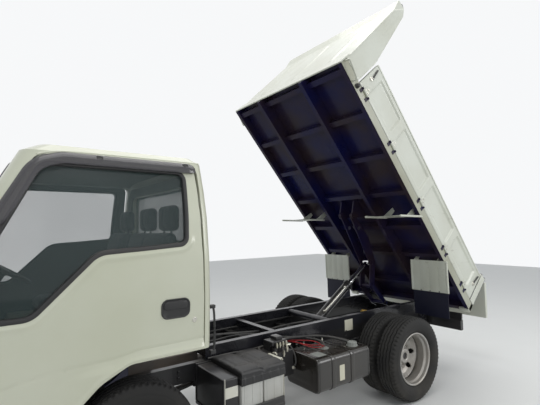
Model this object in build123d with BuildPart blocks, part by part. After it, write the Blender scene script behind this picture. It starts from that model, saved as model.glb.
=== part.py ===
from build123d import *
import os
from math import cos, sin, radians, hypot

os.makedirs("parts", exist_ok=True)

# Light cab-over dump truck with its bed raised, in millimetres. X forward, Y left, Z up.

# overall reaches from the rear axle
wheelbase = 2430.0
front_overhang = 1140.0
cab_length = 1565.0
front_reach = wheelbase + front_overhang
cab_back_reach = front_reach - cab_length
nose_reach = front_reach - 85

# tyres and wheels
tyre_radius = 357.0
tyre_width = 190.0
rim_radius = 217.0
rim_width = 140.0
rim_wall = 9.0
front_track_half = 690.0
rear_outer_half = 766.0
twin_spacing = 218.0
hub_radius = 82.0
spindle_radius = 30.0
hub_fit = 0.4
tyre_sides = 48

# chassis frame
frame_half = 350.0
frame_top = 600.0
frame_depth = 120.0
rail_flange = 50.0
rail_web = 6.0
frame_back = -985.0
frame_front = front_reach - 240
subframe_depth = 95.0
subframe_back = -880.0
subframe_front = cab_back_reach - 195

# bed, in its own axes: x along the floor, z up from the floor sills
tilt = 50.0
hinge_reach = -930.0
hinge_height = 700.0
bed_front = 2773.0
bed_back = -145.0
bed_half = 805.0
floor_top = 128.0
floor_plate = 6.0
sill_y = 325.0
sill_width = 40.0
side_rail_low = 40.0
side_rail_width = 40.0
gate_high = 485.0
gate_thick = 34.0
gate_back = -47.0
gate_front = 2545.0
gate_gap = 6.0
headboard_top = 1220.0
tail_axis_x = -166.0
tail_axis_z = 537.0
tail_drop = 424.0
tail_thick = 38.0
tail_half = 790.0

# hoist linkage: lift arm on the bed, tension link and cylinder on the subframe
arm_pivot_x = 1270.0
arm_pivot_z = -30.0
arm_angle = 239.1
arm_reach = 604.0
arm_tail_along = 820.0
arm_tail_across = 150.0
arm_plate_y = 62.0
arm_plate = 12.0
link_reach = -577.0
link_height = 672.7
cylinder_reach = 400.0
cylinder_height = 600.0
barrel_radius = 43.0
barrel_length = 585.0
rod_radius = 24.0
eye_radius = 34.0
pin_radius = 14.0
pin_fit = 0.4

# cab
cab_pivot_reach = front_reach - 180
cab_pivot_height = 520.0
cab_half = 825.0
cab_wall = 45.0
belt_height = 1400.0
roof_height = 1985.0
roof_drop = 55.0
eave_height = roof_height - roof_drop
eave_half = 696.0
cab_floor_back = 836.0
cab_floor_low = 475.0
cowl_height = 1090.0
hood_height = 930.0
arch_radius = 430.0
pillar = 55.0
door_back_reach = cab_back_reach + pillar
door_gap = 6.0
glass_thick = 5.0
glass_fit = 0.3

rear_reach = -(hinge_reach + tail_axis_x * cos(radians(tilt)) - tail_axis_z * sin(radians(tilt))) + 23.0
rear_axle_x = -(front_reach - rear_reach) / 2
front_axle_x = rear_axle_x + wheelbase
axle_z = tyre_radius


def ahead(reach):
    # place along X, measured forward from the rear axle
    return rear_axle_x + reach


hinge_x = ahead(hinge_reach)
bed_along = Vector(cos(radians(tilt)), 0, sin(radians(tilt)))
bed_up = Vector(-sin(radians(tilt)), 0, cos(radians(tilt)))
bed_origin = Vector(hinge_x, 0, hinge_height)
bed_flat = Plane(origin=bed_origin, x_dir=bed_along, z_dir=bed_up)
bed_side = Plane(origin=bed_origin, x_dir=bed_along, z_dir=(0, -1, 0))
side_view = Plane.XZ


def in_bed(x, z):
    # a point of the bed's own axes, in the truck's axes
    p = bed_origin + bed_along * x + bed_up * z
    return p.X, p.Z


def keep(piece, name):
    piece.part.label = name
    export_step(piece.part, "parts/" + name + ".step")


# frame: two channel rails joined by cross members
frame_low = frame_top - frame_depth
cross_tubes = [  # reach of the cross member, its width, its lower face, its depth
    (-880, 70, 490, 80),
    (640, 60, 490, 70),
    (1240, 60, 520, 70),
    (subframe_front - 170, 60, 556, 36),
    (frame_front - 40, 60, 490, 90),
]
with BuildPart() as frame_rails:
    for side in (1, -1):
        with BuildSketch(Plane.YZ.offset(ahead(frame_back))):
            with Locations((side * (frame_half - rail_flange / 2), frame_top - frame_depth / 2)):
                Rectangle(rail_flange, frame_depth)
            with Locations((side * (frame_half - rail_web - rail_flange / 2), frame_top - frame_depth / 2)):
                Rectangle(rail_flange, frame_depth - 2 * rail_web, mode=Mode.SUBTRACT)
        extrude(amount=frame_front - frame_back)
    for reach, width, low, depth in cross_tubes:
        with Locations((ahead(reach), 0, low + depth / 2)):
            Box(width, 2 * (frame_half - rail_web / 2), depth)
    # cab pivot brackets at the front of the rails
    for side in (1, -1):
        with Locations((ahead((frame_front + cab_pivot_reach + 26) / 2), side * (frame_half - 20), cab_pivot_height)):
            Box(cab_pivot_reach + 26 - frame_front, 40, 56)
        with BuildSketch(side_view.offset(-side * (frame_half - 92))):
            with Locations((ahead(cab_pivot_reach), cab_pivot_height)):
                Circle(pin_radius)
        extrude(amount=-side * 60)
keep(frame_rails, "frame_rails")

# dump subframe: box rails on the frame, rear hinge lugs, hoist carriers and the fixed half of each pivot
subframe_top = frame_top + subframe_depth
hinge_boss = 34.0
hinge_pin = 15.0
lug_in = (frame_half - rail_flange - 12.0, frame_half - rail_flange)
lug_out = (frame_half, frame_half + 12.0)
boss_in = sill_y - sill_width / 2
link_plate_y = 80.0
link_lug_y = 98.0
carrier_x = ahead(490.0)
link_x = ahead(link_reach)
cylinder_x = ahead(cylinder_reach)
with BuildPart() as dump_subframe:
    for side in (1, -1):
        with Locations((ahead((subframe_back + subframe_front) / 2), side * sill_y, frame_top + subframe_depth / 2)):
            Box(subframe_front - subframe_back, rail_flange, subframe_depth)
        # hinge lugs either side of the bed's hinge boss
        for low, high, foot in ((*lug_in, frame_top + 6), (*lug_out, frame_low + 12)):
            with BuildSketch(side_view.offset(-side * low)):
                with BuildLine():
                    Polyline(
                        (ahead(subframe_back) + 60, foot),
                        (ahead(subframe_back) + 60, subframe_top - 8),
                        (hinge_x, hinge_height + hinge_boss - 1),
                        (hinge_x - hinge_boss + 1, hinge_height),
                        (hinge_x - 20, foot + 18),
                        (hinge_x, foot),
                        close=True,
                    )
                make_face()
                with Locations((hinge_x, hinge_height)):
                    Circle(hinge_boss)
            extrude(amount=-side * (high - low))
        with BuildSketch(side_view.offset(-side * lug_in[0])):
            with Locations((hinge_x, hinge_height)):
                Circle(hinge_pin)
        extrude(amount=-side * (lug_out[1] + 8 - lug_in[0]))
        # link lugs on the rear carrier
        with BuildSketch(side_view.offset(-side * link_lug_y)):
            with BuildLine():
                Polyline(
                    (ahead(-720), frame_top + 5),
                    (ahead(-720), frame_top + 60),
                    (link_x, link_height + 24),
                    (link_x + 24, link_height),
                    (link_x, link_height - 24),
                    (ahead(-660), frame_top + 5),
                    close=True,
                )
            make_face()
            with Locations((link_x, link_height)):
                Circle(25)
                Circle(pin_radius + pin_fit, mode=Mode.SUBTRACT)
        extrude(amount=-side * 12)
        # cylinder lugs on the front carrier
        with BuildSketch(side_view.offset(-side * 54)):
            with BuildLine():
                Polyline(
                    (carrier_x, frame_top + 20),
                    (carrier_x, frame_top + 84),
                    (cylinder_x, cylinder_height + 34),
                    (cylinder_x - 34, cylinder_height),
                    (cylinder_x, cylinder_height - 34),
                    close=True,
                )
            make_face()
        extrude(amount=-side * 12)
    with Locations((ahead(-700), 0, frame_top + 32)):
        Box(60, 2 * sill_y, 56)
    for reach in (1120.0, subframe_front - 40):
        with Locations((ahead(reach), 0, frame_top + 40)):
            Box(50, 2 * sill_y, 60)
    with BuildSketch(side_view.offset(-sill_y)):
        with Locations((carrier_x, frame_top + 54)):
            Circle(30)
    extrude(amount=2 * sill_y)
    # pin through the barrel's eye
    with BuildSketch(side_view.offset(-60)):
        with Locations((cylinder_x, cylinder_height)):
            Circle(pin_radius)
    extrude(amount=120)
keep(dump_subframe, "dump_subframe")

# front axle beam with a kingpin eye at each end
kingpin_y = 600.0
eye_height = 90.0
with BuildPart() as front_axle:
    with BuildSketch(Plane.XZ.offset(-kingpin_y + 30)):
        with Locations((front_axle_x, axle_z - 10)):
            Rectangle(64, 66)
            Rectangle(84, 14)
    extrude(amount=2 * (kingpin_y - 30))
    with Locations((front_axle_x, kingpin_y, axle_z), (front_axle_x, -kingpin_y, axle_z)):
        Cylinder(34, eye_height)
        Cylinder(pin_radius + pin_fit, eye_height + 10, mode=Mode.SUBTRACT)
    for side in (1, -1):
        with Locations((front_axle_x, side * sill_y, axle_z + 33)):
            Box(110, 70, 20)
keep(front_axle, "front_axle")

# rear axle: tube with a round differential case and spindles inside the hubs
rear_inner_half = rear_outer_half - twin_spacing
twin_mid = (rear_outer_half + rear_inner_half) / 2
rear_hub_in = twin_mid - 110
with BuildPart() as rear_axle:
    with BuildSketch(Plane.YZ.offset(rear_axle_x)):
        with BuildLine():
            Polyline(
                (0, axle_z), (0, axle_z + 135), (90, axle_z + 120), (190, axle_z + 55),
                (rear_hub_in - 6, axle_z + 55), (rear_hub_in - 6, axle_z + spindle_radius),
                (twin_mid + 60, axle_z + spindle_radius), (twin_mid + 60, axle_z),
                close=True,
            )
        make_face()
    revolve(axis=Axis((rear_axle_x, 0, axle_z), (0, 1, 0)))
    mirror(about=Plane.XZ)
    with Locations((rear_axle_x + 150, 0, axle_z + 6)):
        Cylinder(55, 90, rotation=(0, 90, 0))
    for side in (1, -1):
        with Locations((rear_axle_x, side * sill_y, axle_z + 44)):
            Box(120, 66, 32)
keep(rear_axle, "rear_axle")

# leaf springs: a bowed pack between each axle pad and the rail above it
springs = [  # axle place, height of the axle pad, half length
    (front_axle_x, axle_z + 43, 540),
    (rear_axle_x, axle_z + 60, 590),
]
spring_eye = 20.0
spring_width = 50.0
with BuildPart() as leaf_springs:
    for axle_x, pad_z, half in springs:
        eye_z = frame_low - spring_eye - 0.3
        for side in (1, -1):
            with BuildSketch(side_view.offset(-side * sill_y - spring_width / 2)):
                with BuildLine():
                    Polyline(
                        (axle_x - half, eye_z + 5), (axle_x - half, eye_z - 5),
                        (axle_x - 0.62 * half, pad_z + 0.45 * (eye_z - pad_z) - 4), (axle_x - 60, pad_z),
                        (axle_x + 60, pad_z), (axle_x + 0.62 * half, pad_z + 0.45 * (eye_z - pad_z) - 4),
                        (axle_x + half, eye_z - 5), (axle_x + half, eye_z + 5),
                        (axle_x + 60, pad_z + 30), (axle_x - 60, pad_z + 30),
                        close=True,
                    )
                make_face()
                with Locations((axle_x - half, eye_z), (axle_x + half, eye_z)):
                    Circle(spring_eye)
            extrude(amount=spring_width)
keep(leaf_springs, "leaf_springs")

# engine as one plain block, gearbox and propeller shaft behind it
engine_back = wheelbase - 270
shaft_high = 505.0
with BuildPart() as powertrain:
    with Locations((ahead(engine_back + 270), 0, 625)):
        Box(540, 480, 370)
    with Locations((ahead(engine_back - 200), 0, 505)):
        Box(400, 250, 190)
    with BuildSketch(Plane(origin=(ahead(engine_back - 400), 0, shaft_high), x_dir=(0, 1, 0),
                           z_dir=(-(engine_back - 400 - 203), 0, axle_z + 6 - shaft_high))):
        Circle(36)
    extrude(amount=hypot(engine_back - 400 - 203, shaft_high - axle_z - 6))
    for side in (1, -1):
        with Locations((ahead(engine_back + 270), side * (240 + frame_half - rail_web) / 2, 550)):
            Box(90, frame_half - rail_web - 240, 60)
keep(powertrain, "powertrain")

# fuel tank on the left rail, with straps, bracket arms and cap
box_front = cab_back_reach - 115
box_length = 470.0
box_back = box_front - box_length
unit_bay = 287.0
tank_length = 574.0
tank_front = box_back - unit_bay
tank_back = tank_front - tank_length
tank_low = 319.0
tank_high = 570.0
tank_out = 787.0
tank_in = 420.0
with BuildPart() as fuel_tank:
    with BuildSketch(Plane.YZ.offset(ahead(tank_back))):
        with Locations(((tank_out + tank_in) / 2, (tank_low + tank_high) / 2)):
            RectangleRounded(tank_out - tank_in, tank_high - tank_low, 45)
    extrude(amount=tank_front - tank_back)
    for reach in (tank_back + 0.36 * tank_length, tank_back + 0.72 * tank_length):
        with BuildSketch(Plane.YZ.offset(ahead(reach) - 20)):
            with Locations(((tank_out + tank_in) / 2, (tank_low + tank_high) / 2)):
                RectangleRounded(tank_out - tank_in + 8, tank_high - tank_low + 8, 49)
        extrude(amount=40)
        with BuildSketch(Plane.YZ.offset(ahead(reach) - 16)):
            with BuildLine():
                Polyline(
                    (frame_half, frame_top - 8), (frame_half + 14, frame_top - 8), (frame_half + 14, tank_low),
                    (tank_in + 90, tank_low), (tank_in + 90, tank_low - 14), (frame_half, tank_low - 14),
                    close=True,
                )
            make_face()
        extrude(amount=32)
        with Locations((ahead(reach), (frame_half + tank_in) / 2 + 4, frame_low + 60)):
            Box(32, tank_in - frame_half + 8, 50)
    with Locations((ahead(tank_back + 112), tank_out - 87, tank_high + 14)):
        Cylinder(38, 32)
    with Locations((ahead(tank_back + 341), (tank_in + tank_out) / 2, tank_high + 8)):
        Cylinder(45, 18)
keep(fuel_tank, "fuel_tank")

# battery box behind the cab: tray, two batteries and a lid
box_out = 765.0
box_low = 330.0
box_high = 600.0
with BuildPart() as battery_box:
    with Locations((ahead((box_back + box_front) / 2), (frame_half + box_out) / 2, box_low + 12)):
        Box(box_front - box_back, box_out - frame_half, 24)
    with Locations((ahead((box_back + box_front) / 2), frame_half + 8, (box_low + frame_top) / 2)):
        Box(box_front - box_back, 16, frame_top - box_low)
    for place in (0.27, 0.73):
        with Locations((ahead(box_back + place * (box_front - box_back)), (frame_half + box_out) / 2 + 20,
                        (box_low + box_high) / 2)):
            Box(205, 300, box_high - box_low)
    with BuildSketch(Plane.XY.offset(box_high - 30)):
        with Locations((ahead((box_back + box_front) / 2), (frame_half + box_out) / 2)):
            RectangleRounded(box_front - box_back + 20, box_out - frame_half - 2, 25)
    extrude(amount=62, taper=6)
keep(battery_box, "battery_box")

# hydraulic oil tank with pump and valve block, on the left rail
unit_reach = (tank_front + box_back) / 2
with BuildPart() as hydraulic_unit:
    with Locations((ahead(unit_reach), frame_half + 105, 510)):
        Box(200, 210, 180)
    with Locations((ahead(unit_reach), frame_half + 90, 625)):
        Box(120, 90, 50)
    with Locations((ahead(unit_reach + 40), frame_half + 165, 615)):
        Cylinder(24, 30)
keep(hydraulic_unit, "hydraulic_unit")

# exhaust silencer and tail pipe on the right
pipe_y = -520.0
with BuildPart() as exhaust:
    with Locations((ahead(860.0), pipe_y, 440)):
        Cylinder(95, 520, rotation=(0, 90, 0))
    with Locations((ahead(1350.0), pipe_y, 440)):
        Cylinder(30, 480, rotation=(0, 90, 0))
    with Locations((ahead(640.0), pipe_y - 140, 440)):
        Cylinder(28, 240, rotation=(90, 0, 0))
    for reach in (700.0, 1020.0):
        with Locations((ahead(reach), -(frame_half + 90), 540)):
            Box(30, 180, 30)
keep(exhaust, "exhaust")

# rear under-run bar on two brackets
bar_half = 735.0
with BuildPart() as rear_bar:
    with BuildSketch(side_view.offset(-bar_half)):
        with Locations((ahead(frame_back - 24), 475)):
            RectangleRounded(48, 112, 10)
    extrude(amount=2 * bar_half)
    for side in (1, -1):
        with Locations((ahead(frame_back + 40), side * (frame_half - 25), 455)):
            Box(90, 50, 50)
        with Locations((ahead(frame_back - 16), side * 640, 555)):
            Box(10, 200, 70)
keep(rear_bar, "rear_bar")

with BuildPart() as rear_lamps:
    for side in (1, -1):
        with BuildSketch(Plane.YZ.offset(ahead(frame_back - 21))):
            with Locations((side * 640, 567)):
                RectangleRounded(200, 60, 12)
        extrude(amount=-34)
keep(rear_lamps, "rear_lamps")

# cab body: level sections from below up, each with rounded corners
cab_side = [  # half width, height, from the sill up to the eave
    (cab_half - 35, cab_floor_low), (cab_half - 20, 700), (cab_half - 7, 900), (cab_half, 1120),
    (cab_half - 6, belt_height - 50), (cab_half - 34, eave_height - 330), (eave_half + 56, eave_height - 170),
    (eave_half, eave_height),
]
cab_section = cab_side + [(eave_half - 45, roof_height - 15), (eave_half - 180, roof_height)]
cowl_back = 90.0
screen_lean = 0.5
eave_back = cowl_back + screen_lean * (eave_height - cowl_height)
belt_back = cowl_back + screen_lean * (belt_height - cowl_height)
cab_levels = [  # height, distance behind the nose, distance ahead of the back, front corner radius, rear corner radius
    (cab_floor_low, 40, 0, 100, 35),
    (600, 0, 0, 120, 40),
    (800, 0, 0, 120, 45),
    (hood_height, 0, 0, 120, 45),
    (cowl_height, cowl_back, 0, 100, 45),
    (belt_height, belt_back, 0, 80, 45),
    (eave_height, eave_back, 0, 80, 55),
    (roof_height - 15, eave_back + 75, 45, 80, 55),
    (roof_height, eave_back + 275, 135, 80, 55),
]


def between(rows, z):
    # a row of the table at height z, found between the rows below and above; each row starts with its height
    for low, high in zip(rows, rows[1:]):
        if low[0] <= z <= high[0]:
            return [a + (b - a) * (z - low[0]) / (high[0] - low[0]) for a, b in zip(low, high)]


def half_at(z):
    # half width of the cab at a height
    return between([(height, half) for half, height in cab_section], z)[1]


def cab_solid(inset):
    # the cab's outer body, or the same form drawn in by a wall
    with BuildPart(mode=Mode.PRIVATE) as body:
        for level in sorted({row[0] for row in cab_levels} | {z for half, z in cab_section}):
            z, front, back, front_r, back_r = between(cab_levels, level)
            half = half_at(z) - inset
            x0 = ahead(cab_back_reach + back) + inset
            x1 = ahead(nose_reach - front) - inset
            with BuildSketch(Plane.XY.offset(z - inset if z > belt_height else z)):
                with BuildLine():
                    FilletPolyline(
                        (x0, -half), (x1, -half), (x1, half), (x0, half),
                        radius=[max(r - inset, 15) for r in (back_r, front_r, front_r, back_r)], close=True,
                    )
                make_face()
        loft(ruled=True)
    return body.part


def side_slab(out, inn, side, thinner=0, deeper=0):
    # the cab's side wall as a slab, between two distances in from its outer face, thinner towards the eave,
    # or deeper above the belt, where the leaning wall is thicker from side to side
    outer = [(y - out, z) for y, z in cab_side]
    inner = [(y - inn - (deeper if z > belt_height else 0), z) for y, z in cab_side[:-1]]
    inner.append((eave_half - inn - deeper + thinner, eave_height))
    with BuildPart(mode=Mode.PRIVATE) as slab:
        with BuildSketch(Plane.YZ.offset(ahead(cab_back_reach) - 100)):
            with BuildLine():
                Polyline([(side * y, z) for y, z in outer + inner[::-1]], close=True)
            make_face()
        extrude(amount=cab_length + 200)
    return slab.part


def side_prism(sketch_points, radii, grow, side):
    # an outline seen from the side, with each corner rounded, through one side wall
    with BuildPart(mode=Mode.PRIVATE) as prism:
        with BuildSketch(side_view.offset(-side * (eave_half - 136))):
            with BuildLine():
                FilletPolyline([(ahead(x), z) for x, z in sketch_points], radius=radii, close=True)
            make_face()
            if grow:
                offset(amount=grow)
        extrude(amount=-side * 400)
    return prism.part


arch_x = front_axle_x
arch_top = cab_floor_back
door_front_reach = nose_reach - 357
door_low = 495.0
door_high = eave_height - 25
door_hinges = (900.0, 1240.0)
hinge_radius = 7.0
hinge_set = 2.5
door_back_lean = 11.0


# the door from the side; its back edge leans forward above the belt, to swing clear of the pillar
door_front = [(door_front_reach - 223, door_high), (door_front_reach, belt_height + 50), (door_front_reach, door_low)]
door_arch = [(wheelbase + 425, door_low), (wheelbase + 385, 585), (wheelbase + 195, 768), (wheelbase + 50, arch_top + 4)]
inside_arch = [(wheelbase + 370, door_low), (wheelbase + 330, 585), (wheelbase + 160, 725), (wheelbase + 20, arch_top + 4)]
door_corner = (door_back_reach, arch_top + 4)
rest_radii = [60, 120, 25, 20, 180, 160, 120, 25]
opening_outline = [(door_back_reach, door_high)] + door_front + inside_arch + [door_corner]
opening_radii = [45] + rest_radii
lean_from = (door_back_reach, belt_height - 200)
door_outline = [lean_from, (door_back_reach + door_back_lean, door_high)] + door_front + door_arch + [door_corner]
door_radii = [100, 45] + rest_radii
window_back = door_back_reach + 100
window_front = door_front_reach - 53
window_high = eave_height - 64
window_length = window_front - window_back
window_outline = [
    (window_back, belt_height + 42), (window_back - 17, window_high), (window_front - 190, window_high),
    (window_front, belt_height + 80), (window_front, belt_height - 270), (window_front - 150, belt_height - 270),
    (window_back + 0.52 * window_length, belt_height + 12), (window_back + 0.26 * window_length, belt_height + 26),
]
window_radii = [45, 45, 70, 160, 40, 90, 130, 300]

# space inside: seat floor over the wheels, footwells ahead of it, tunnel between them
seat_floor = 905.0
foot_floor = 520.0
foot_back = wheelbase + 555
tunnel_half = 370.0
tunnel_high = 650.0
engine_roof = 862.0
with BuildPart(mode=Mode.PRIVATE) as tunnel_cover:
    with Locations((ahead(nose_reach), 0, (tunnel_high + cab_wall) / 2)):
        Box(2 * (nose_reach - foot_back + 50), 2 * (tunnel_half + cab_wall), tunnel_high + cab_wall)
with BuildPart(mode=Mode.PRIVATE) as above_floor:
    with BuildSketch(side_view.offset(-1000)):
        with BuildLine():
            Polyline(
                (ahead(cab_back_reach), seat_floor), (ahead(foot_back - 55), seat_floor),
                (ahead(foot_back), seat_floor - 125), (ahead(foot_back), foot_floor), (ahead(front_reach), foot_floor),
                (ahead(front_reach), roof_height), (ahead(cab_back_reach), roof_height), close=True,
            )
        make_face()
    extrude(amount=2000)
cab_space = (cab_solid(cab_wall) & above_floor.part) - tunnel_cover.part
with BuildPart(mode=Mode.PRIVATE) as arch_cut:
    with BuildSketch(side_view.offset(-1000)):
        with Locations((arch_x, axle_z)):
            Circle(arch_radius)
        with Locations((arch_x - 270, arch_top - 300)):
            Rectangle(660, 600)
    extrude(amount=2000)

cab_body = cab_solid(0)

screen_low_half = cab_half - 120
screen_high_half = eave_half - 91
screen_outline = [
    (screen_low_half, cowl_height + 60), (screen_high_half, eave_height - 68),
    (-screen_high_half, eave_height - 68), (-screen_low_half, cowl_height + 60),
]
screen_from = ahead(nose_reach - eave_back - 75)
with BuildPart(mode=Mode.PRIVATE) as front_opening:
    with BuildSketch(Plane.YZ.offset(screen_from)):
        with BuildLine():
            FilletPolyline(*screen_outline, radius=70, close=True)
        make_face()
    extrude(amount=eave_back + 100)
rear_glass_half = 540.0
rear_glass_low = belt_height + 40
rear_glass_high = eave_height - 130
with BuildPart(mode=Mode.PRIVATE) as rear_opening:
    with BuildSketch(Plane.YZ.offset(ahead(cab_back_reach - 55))):
        with Locations((0, (rear_glass_low + rear_glass_high) / 2)):
            RectangleRounded(2 * rear_glass_half, rear_glass_high - rear_glass_low, 60)
    extrude(amount=120)

with BuildPart() as cab_shell:
    add(cab_body)
    add(cab_space, mode=Mode.SUBTRACT)
    add(arch_cut.part, mode=Mode.SUBTRACT)
    add(front_opening.part, mode=Mode.SUBTRACT)
    add(rear_opening.part, mode=Mode.SUBTRACT)
    for side in (1, -1):
        through_wall = side_slab(-20, cab_wall + 3, side, deeper=0.8 * cab_wall)
        add(side_prism(opening_outline, opening_radii, door_gap, side) & through_wall, mode=Mode.SUBTRACT)
    # tunnel over the frame, higher over the engine
    tunnel_from = cab_back_reach - 100
    tunnel_to = nose_reach - 55
    with Locations((ahead((tunnel_from + tunnel_to) / 2), 0, tunnel_high / 2)):
        Box(tunnel_to - tunnel_from, 2 * tunnel_half, tunnel_high, mode=Mode.SUBTRACT)
    bay_from = min(engine_back - 180, cab_back_reach - 20)
    bay_to = engine_back + 780
    with Locations((ahead((bay_from + bay_to) / 2), 0, engine_roof / 2)):
        Box(bay_to - bay_from, 2 * tunnel_half, engine_roof, mode=Mode.SUBTRACT)
    # tilt lugs on the pins at the front of the frame
    for side in (1, -1):
        with BuildSketch(side_view.offset(-side * (frame_half - 88))):
            with BuildLine():
                Polyline(
                    (ahead(cab_pivot_reach) - 60, tunnel_high + 10), (ahead(cab_pivot_reach) + 50, tunnel_high + 10),
                    (ahead(cab_pivot_reach) + 28, cab_pivot_height), (ahead(cab_pivot_reach) - 28, cab_pivot_height),
                    close=True,
                )
            make_face()
            with Locations((ahead(cab_pivot_reach), cab_pivot_height)):
                Circle(28)
                Circle(pin_radius + pin_fit, mode=Mode.SUBTRACT)
        extrude(amount=-side * 38)
        # hinge barrels of the doors on the front pillars
        for level in door_hinges:
            with Locations((ahead(door_front_reach + hinge_set), side * cab_half, level)):
                Cylinder(hinge_radius + 1, 90, mode=Mode.SUBTRACT)
            with Locations((ahead(door_front_reach + hinge_set + 5), side * (cab_half - 6), level - 22.5)):
                Box(14, 12, 45 - glass_fit)
            with Locations((ahead(door_front_reach + hinge_set), side * cab_half, level - 22.5)):
                Cylinder(hinge_radius, 45 - glass_fit)
keep(cab_shell, "cab_shell")

handle_in = 174.0
handle_height = 1090.0
handle_width = 152.0
handle_tall = 94.0
doors = {1: "left", -1: "right"}
for side, word in doors.items():
    outline = side_prism(door_outline, door_radii, 0, side)
    window = side_prism(window_outline, window_radii, 0, side)
    with BuildPart() as door:
        add(outline & side_slab(-20, cab_wall, side, 15) & cab_body)
        add(arch_cut.part, mode=Mode.SUBTRACT)
        add(window, mode=Mode.SUBTRACT)
        for level in door_hinges:
            with Locations((ahead(door_front_reach + hinge_set), side * cab_half, level)):
                Cylinder(hinge_radius + 1, 90, mode=Mode.SUBTRACT)
            with Locations((ahead(door_front_reach + hinge_set - 5), side * (cab_half - 6), level + 22.5)):
                Box(14, 12, 45 - glass_fit)
            with Locations((ahead(door_front_reach + hinge_set), side * cab_half, level + 22.5)):
                Cylinder(hinge_radius, 45 - glass_fit)
        # handle recess with a bridge across it
        with BuildSketch(side_view.offset(-side * (cab_half - 28))):
            with Locations((ahead(door_back_reach + handle_in), handle_height)):
                RectangleRounded(handle_width, handle_tall, 30)
        extrude(amount=-side * 60, mode=Mode.SUBTRACT)
        with Locations((ahead(door_back_reach + handle_in), side * (cab_half - 10), handle_height + 8)):
            Box(handle_width + 4, 16, 42)
    keep(door, "door_" + word)
    with BuildPart() as glass:
        add(side_prism(window_outline, window_radii, -glass_fit, side) & side_slab(18, 18 + glass_thick, side))
    keep(glass, "door_glass_" + word)

# smoked rain visors along the top and front of each door window
visor_outline = [
    (door_back_reach + 10, window_high - 8), (door_back_reach + 10, eave_height + 8),
    (window_front - 275, eave_height + 8), (window_front - 150, eave_height - 50),
    (window_front + 10, belt_height + 160), (window_front - 35, belt_height + 160),
    (window_front - 195, window_high - 31), (window_front - 285, window_high + 2),
]
for side, word in doors.items():
    edge = [  # distance out from the wall face, height
        (2, eave_height), (14, eave_height - 20), (14, eave_height - 170), (14, eave_height - 330),
        (14, belt_height + 100), (9, belt_height + 100), (9, eave_height - 330), (9, eave_height - 170),
        (9, eave_height - 24), (2, eave_height - 12),
    ]
    with BuildPart() as visor:
        with BuildSketch(Plane.YZ.offset(ahead(door_back_reach))):
            with BuildLine():
                Polyline([(side * (half_at(z) + out), z) for out, z in edge], close=True)
            make_face()
        extrude(amount=window_front + 40 - door_back_reach)
        with BuildSketch(side_view.offset(-side * 560), mode=Mode.PRIVATE) as band:
            with BuildLine():
                Polyline([(ahead(x), z) for x, z in visor_outline], close=True)
            make_face()
        extrude(band.sketch, amount=-side * 400, mode=Mode.INTERSECT)
    keep(visor, "rain_visor_" + word)

# windscreen and rear window, seated in their openings
screen_low = Vector(ahead(nose_reach - cowl_back), 0, cowl_height)
screen_high = Vector(ahead(nose_reach - eave_back), 0, eave_height)
screen_up = (screen_high - screen_low).normalized()
screen_in = Vector(-screen_up.Z, 0, screen_up.X)
with BuildPart() as windscreen:
    a = screen_low + screen_in * 16
    b = screen_high + screen_in * 16
    with BuildSketch(side_view.offset(-800)):
        with BuildLine():
            Polyline(
                (a.X, a.Z), (b.X, b.Z), (b.X + screen_in.X * 6, b.Z + screen_in.Z * 6),
                (a.X + screen_in.X * 6, a.Z + screen_in.Z * 6), close=True,
            )
        make_face()
    extrude(amount=1600)
    with BuildSketch(Plane.YZ.offset(screen_from), mode=Mode.PRIVATE) as screen_edge:
        with BuildLine():
            FilletPolyline(*screen_outline, radius=70, close=True)
        make_face()
        offset(amount=-glass_fit)
    extrude(screen_edge.sketch, amount=eave_back + 100, mode=Mode.INTERSECT)
keep(windscreen, "windscreen")

with BuildPart() as rear_window:
    with BuildSketch(Plane.YZ.offset(ahead(cab_back_reach + 12))):
        with Locations((0, (rear_glass_low + rear_glass_high) / 2)):
            RectangleRounded(
                2 * (rear_glass_half - glass_fit), rear_glass_high - rear_glass_low - 2 * glass_fit, 60 - glass_fit,
            )
    extrude(amount=5)
keep(rear_window, "rear_window")

# grille panel on the nose, with its slots, and the headlamps beside it
nose_x = ahead(nose_reach) + glass_fit
panel_height = 800.0
panel_half = 450.0
with BuildPart() as front_panel:
    with BuildSketch(Plane.YZ.offset(nose_x)):
        with Locations((0, panel_height)):
            RectangleRounded(2 * panel_half, 200, 40)
    extrude(amount=30)
    with Locations((nose_x + 30, 0, panel_height)):
        Box(24, 2 * panel_half - 80, 120, mode=Mode.SUBTRACT)
    for rise in (-36, 0, 36):
        with Locations((nose_x + 22, 0, panel_height + rise)):
            Box(14, 2 * panel_half - 78, 14)
keep(front_panel, "front_panel")

with BuildPart() as headlamps:
    for side in (1, -1):
        with BuildSketch(Plane.YZ.offset(nose_x)):
            with Locations((side * (panel_half + 128), panel_height)):
                RectangleRounded(246, 170, 45)
        extrude(amount=34)
keep(headlamps, "headlamps")

# dashboard across the cab, below the windscreen, with the steering column
column_low = Vector(ahead(nose_reach - 410), -400, 1120)
column_up = Vector(-cos(radians(58)), 0, sin(radians(58)))
wheel_centre = column_low + column_up * 175
wheel_plane = Plane(origin=wheel_centre, x_dir=(0, 1, 0), z_dir=column_up)
dash_x = ahead(nose_reach)


def wall_at(z):
    # inner face of the front wall between hood and cowl, with a small clearance
    return dash_x - cab_wall - 0.4 - cowl_back * (z - hood_height) / (cowl_height - hood_height)


with BuildPart() as dashboard:
    with BuildSketch(side_view.offset(-680)):
        with BuildLine():
            FilletPolyline(
                (dash_x - 335, 905), (dash_x - 400, 1000), (dash_x - 390, 1115), (dash_x - 235, 1130),
                (wall_at(1075), 1075), (wall_at(hood_height + 1), hood_height + 1), (dash_x - 80, 905),
                radius=[20, 25, 30, 30, 5, 5, 5], close=True,
            )
        make_face()
    extrude(amount=1360)
    with BuildSketch(wheel_plane.offset(-30 - glass_fit)):
        Circle(34)
    extrude(amount=-190)
keep(dashboard, "dashboard")

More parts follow.
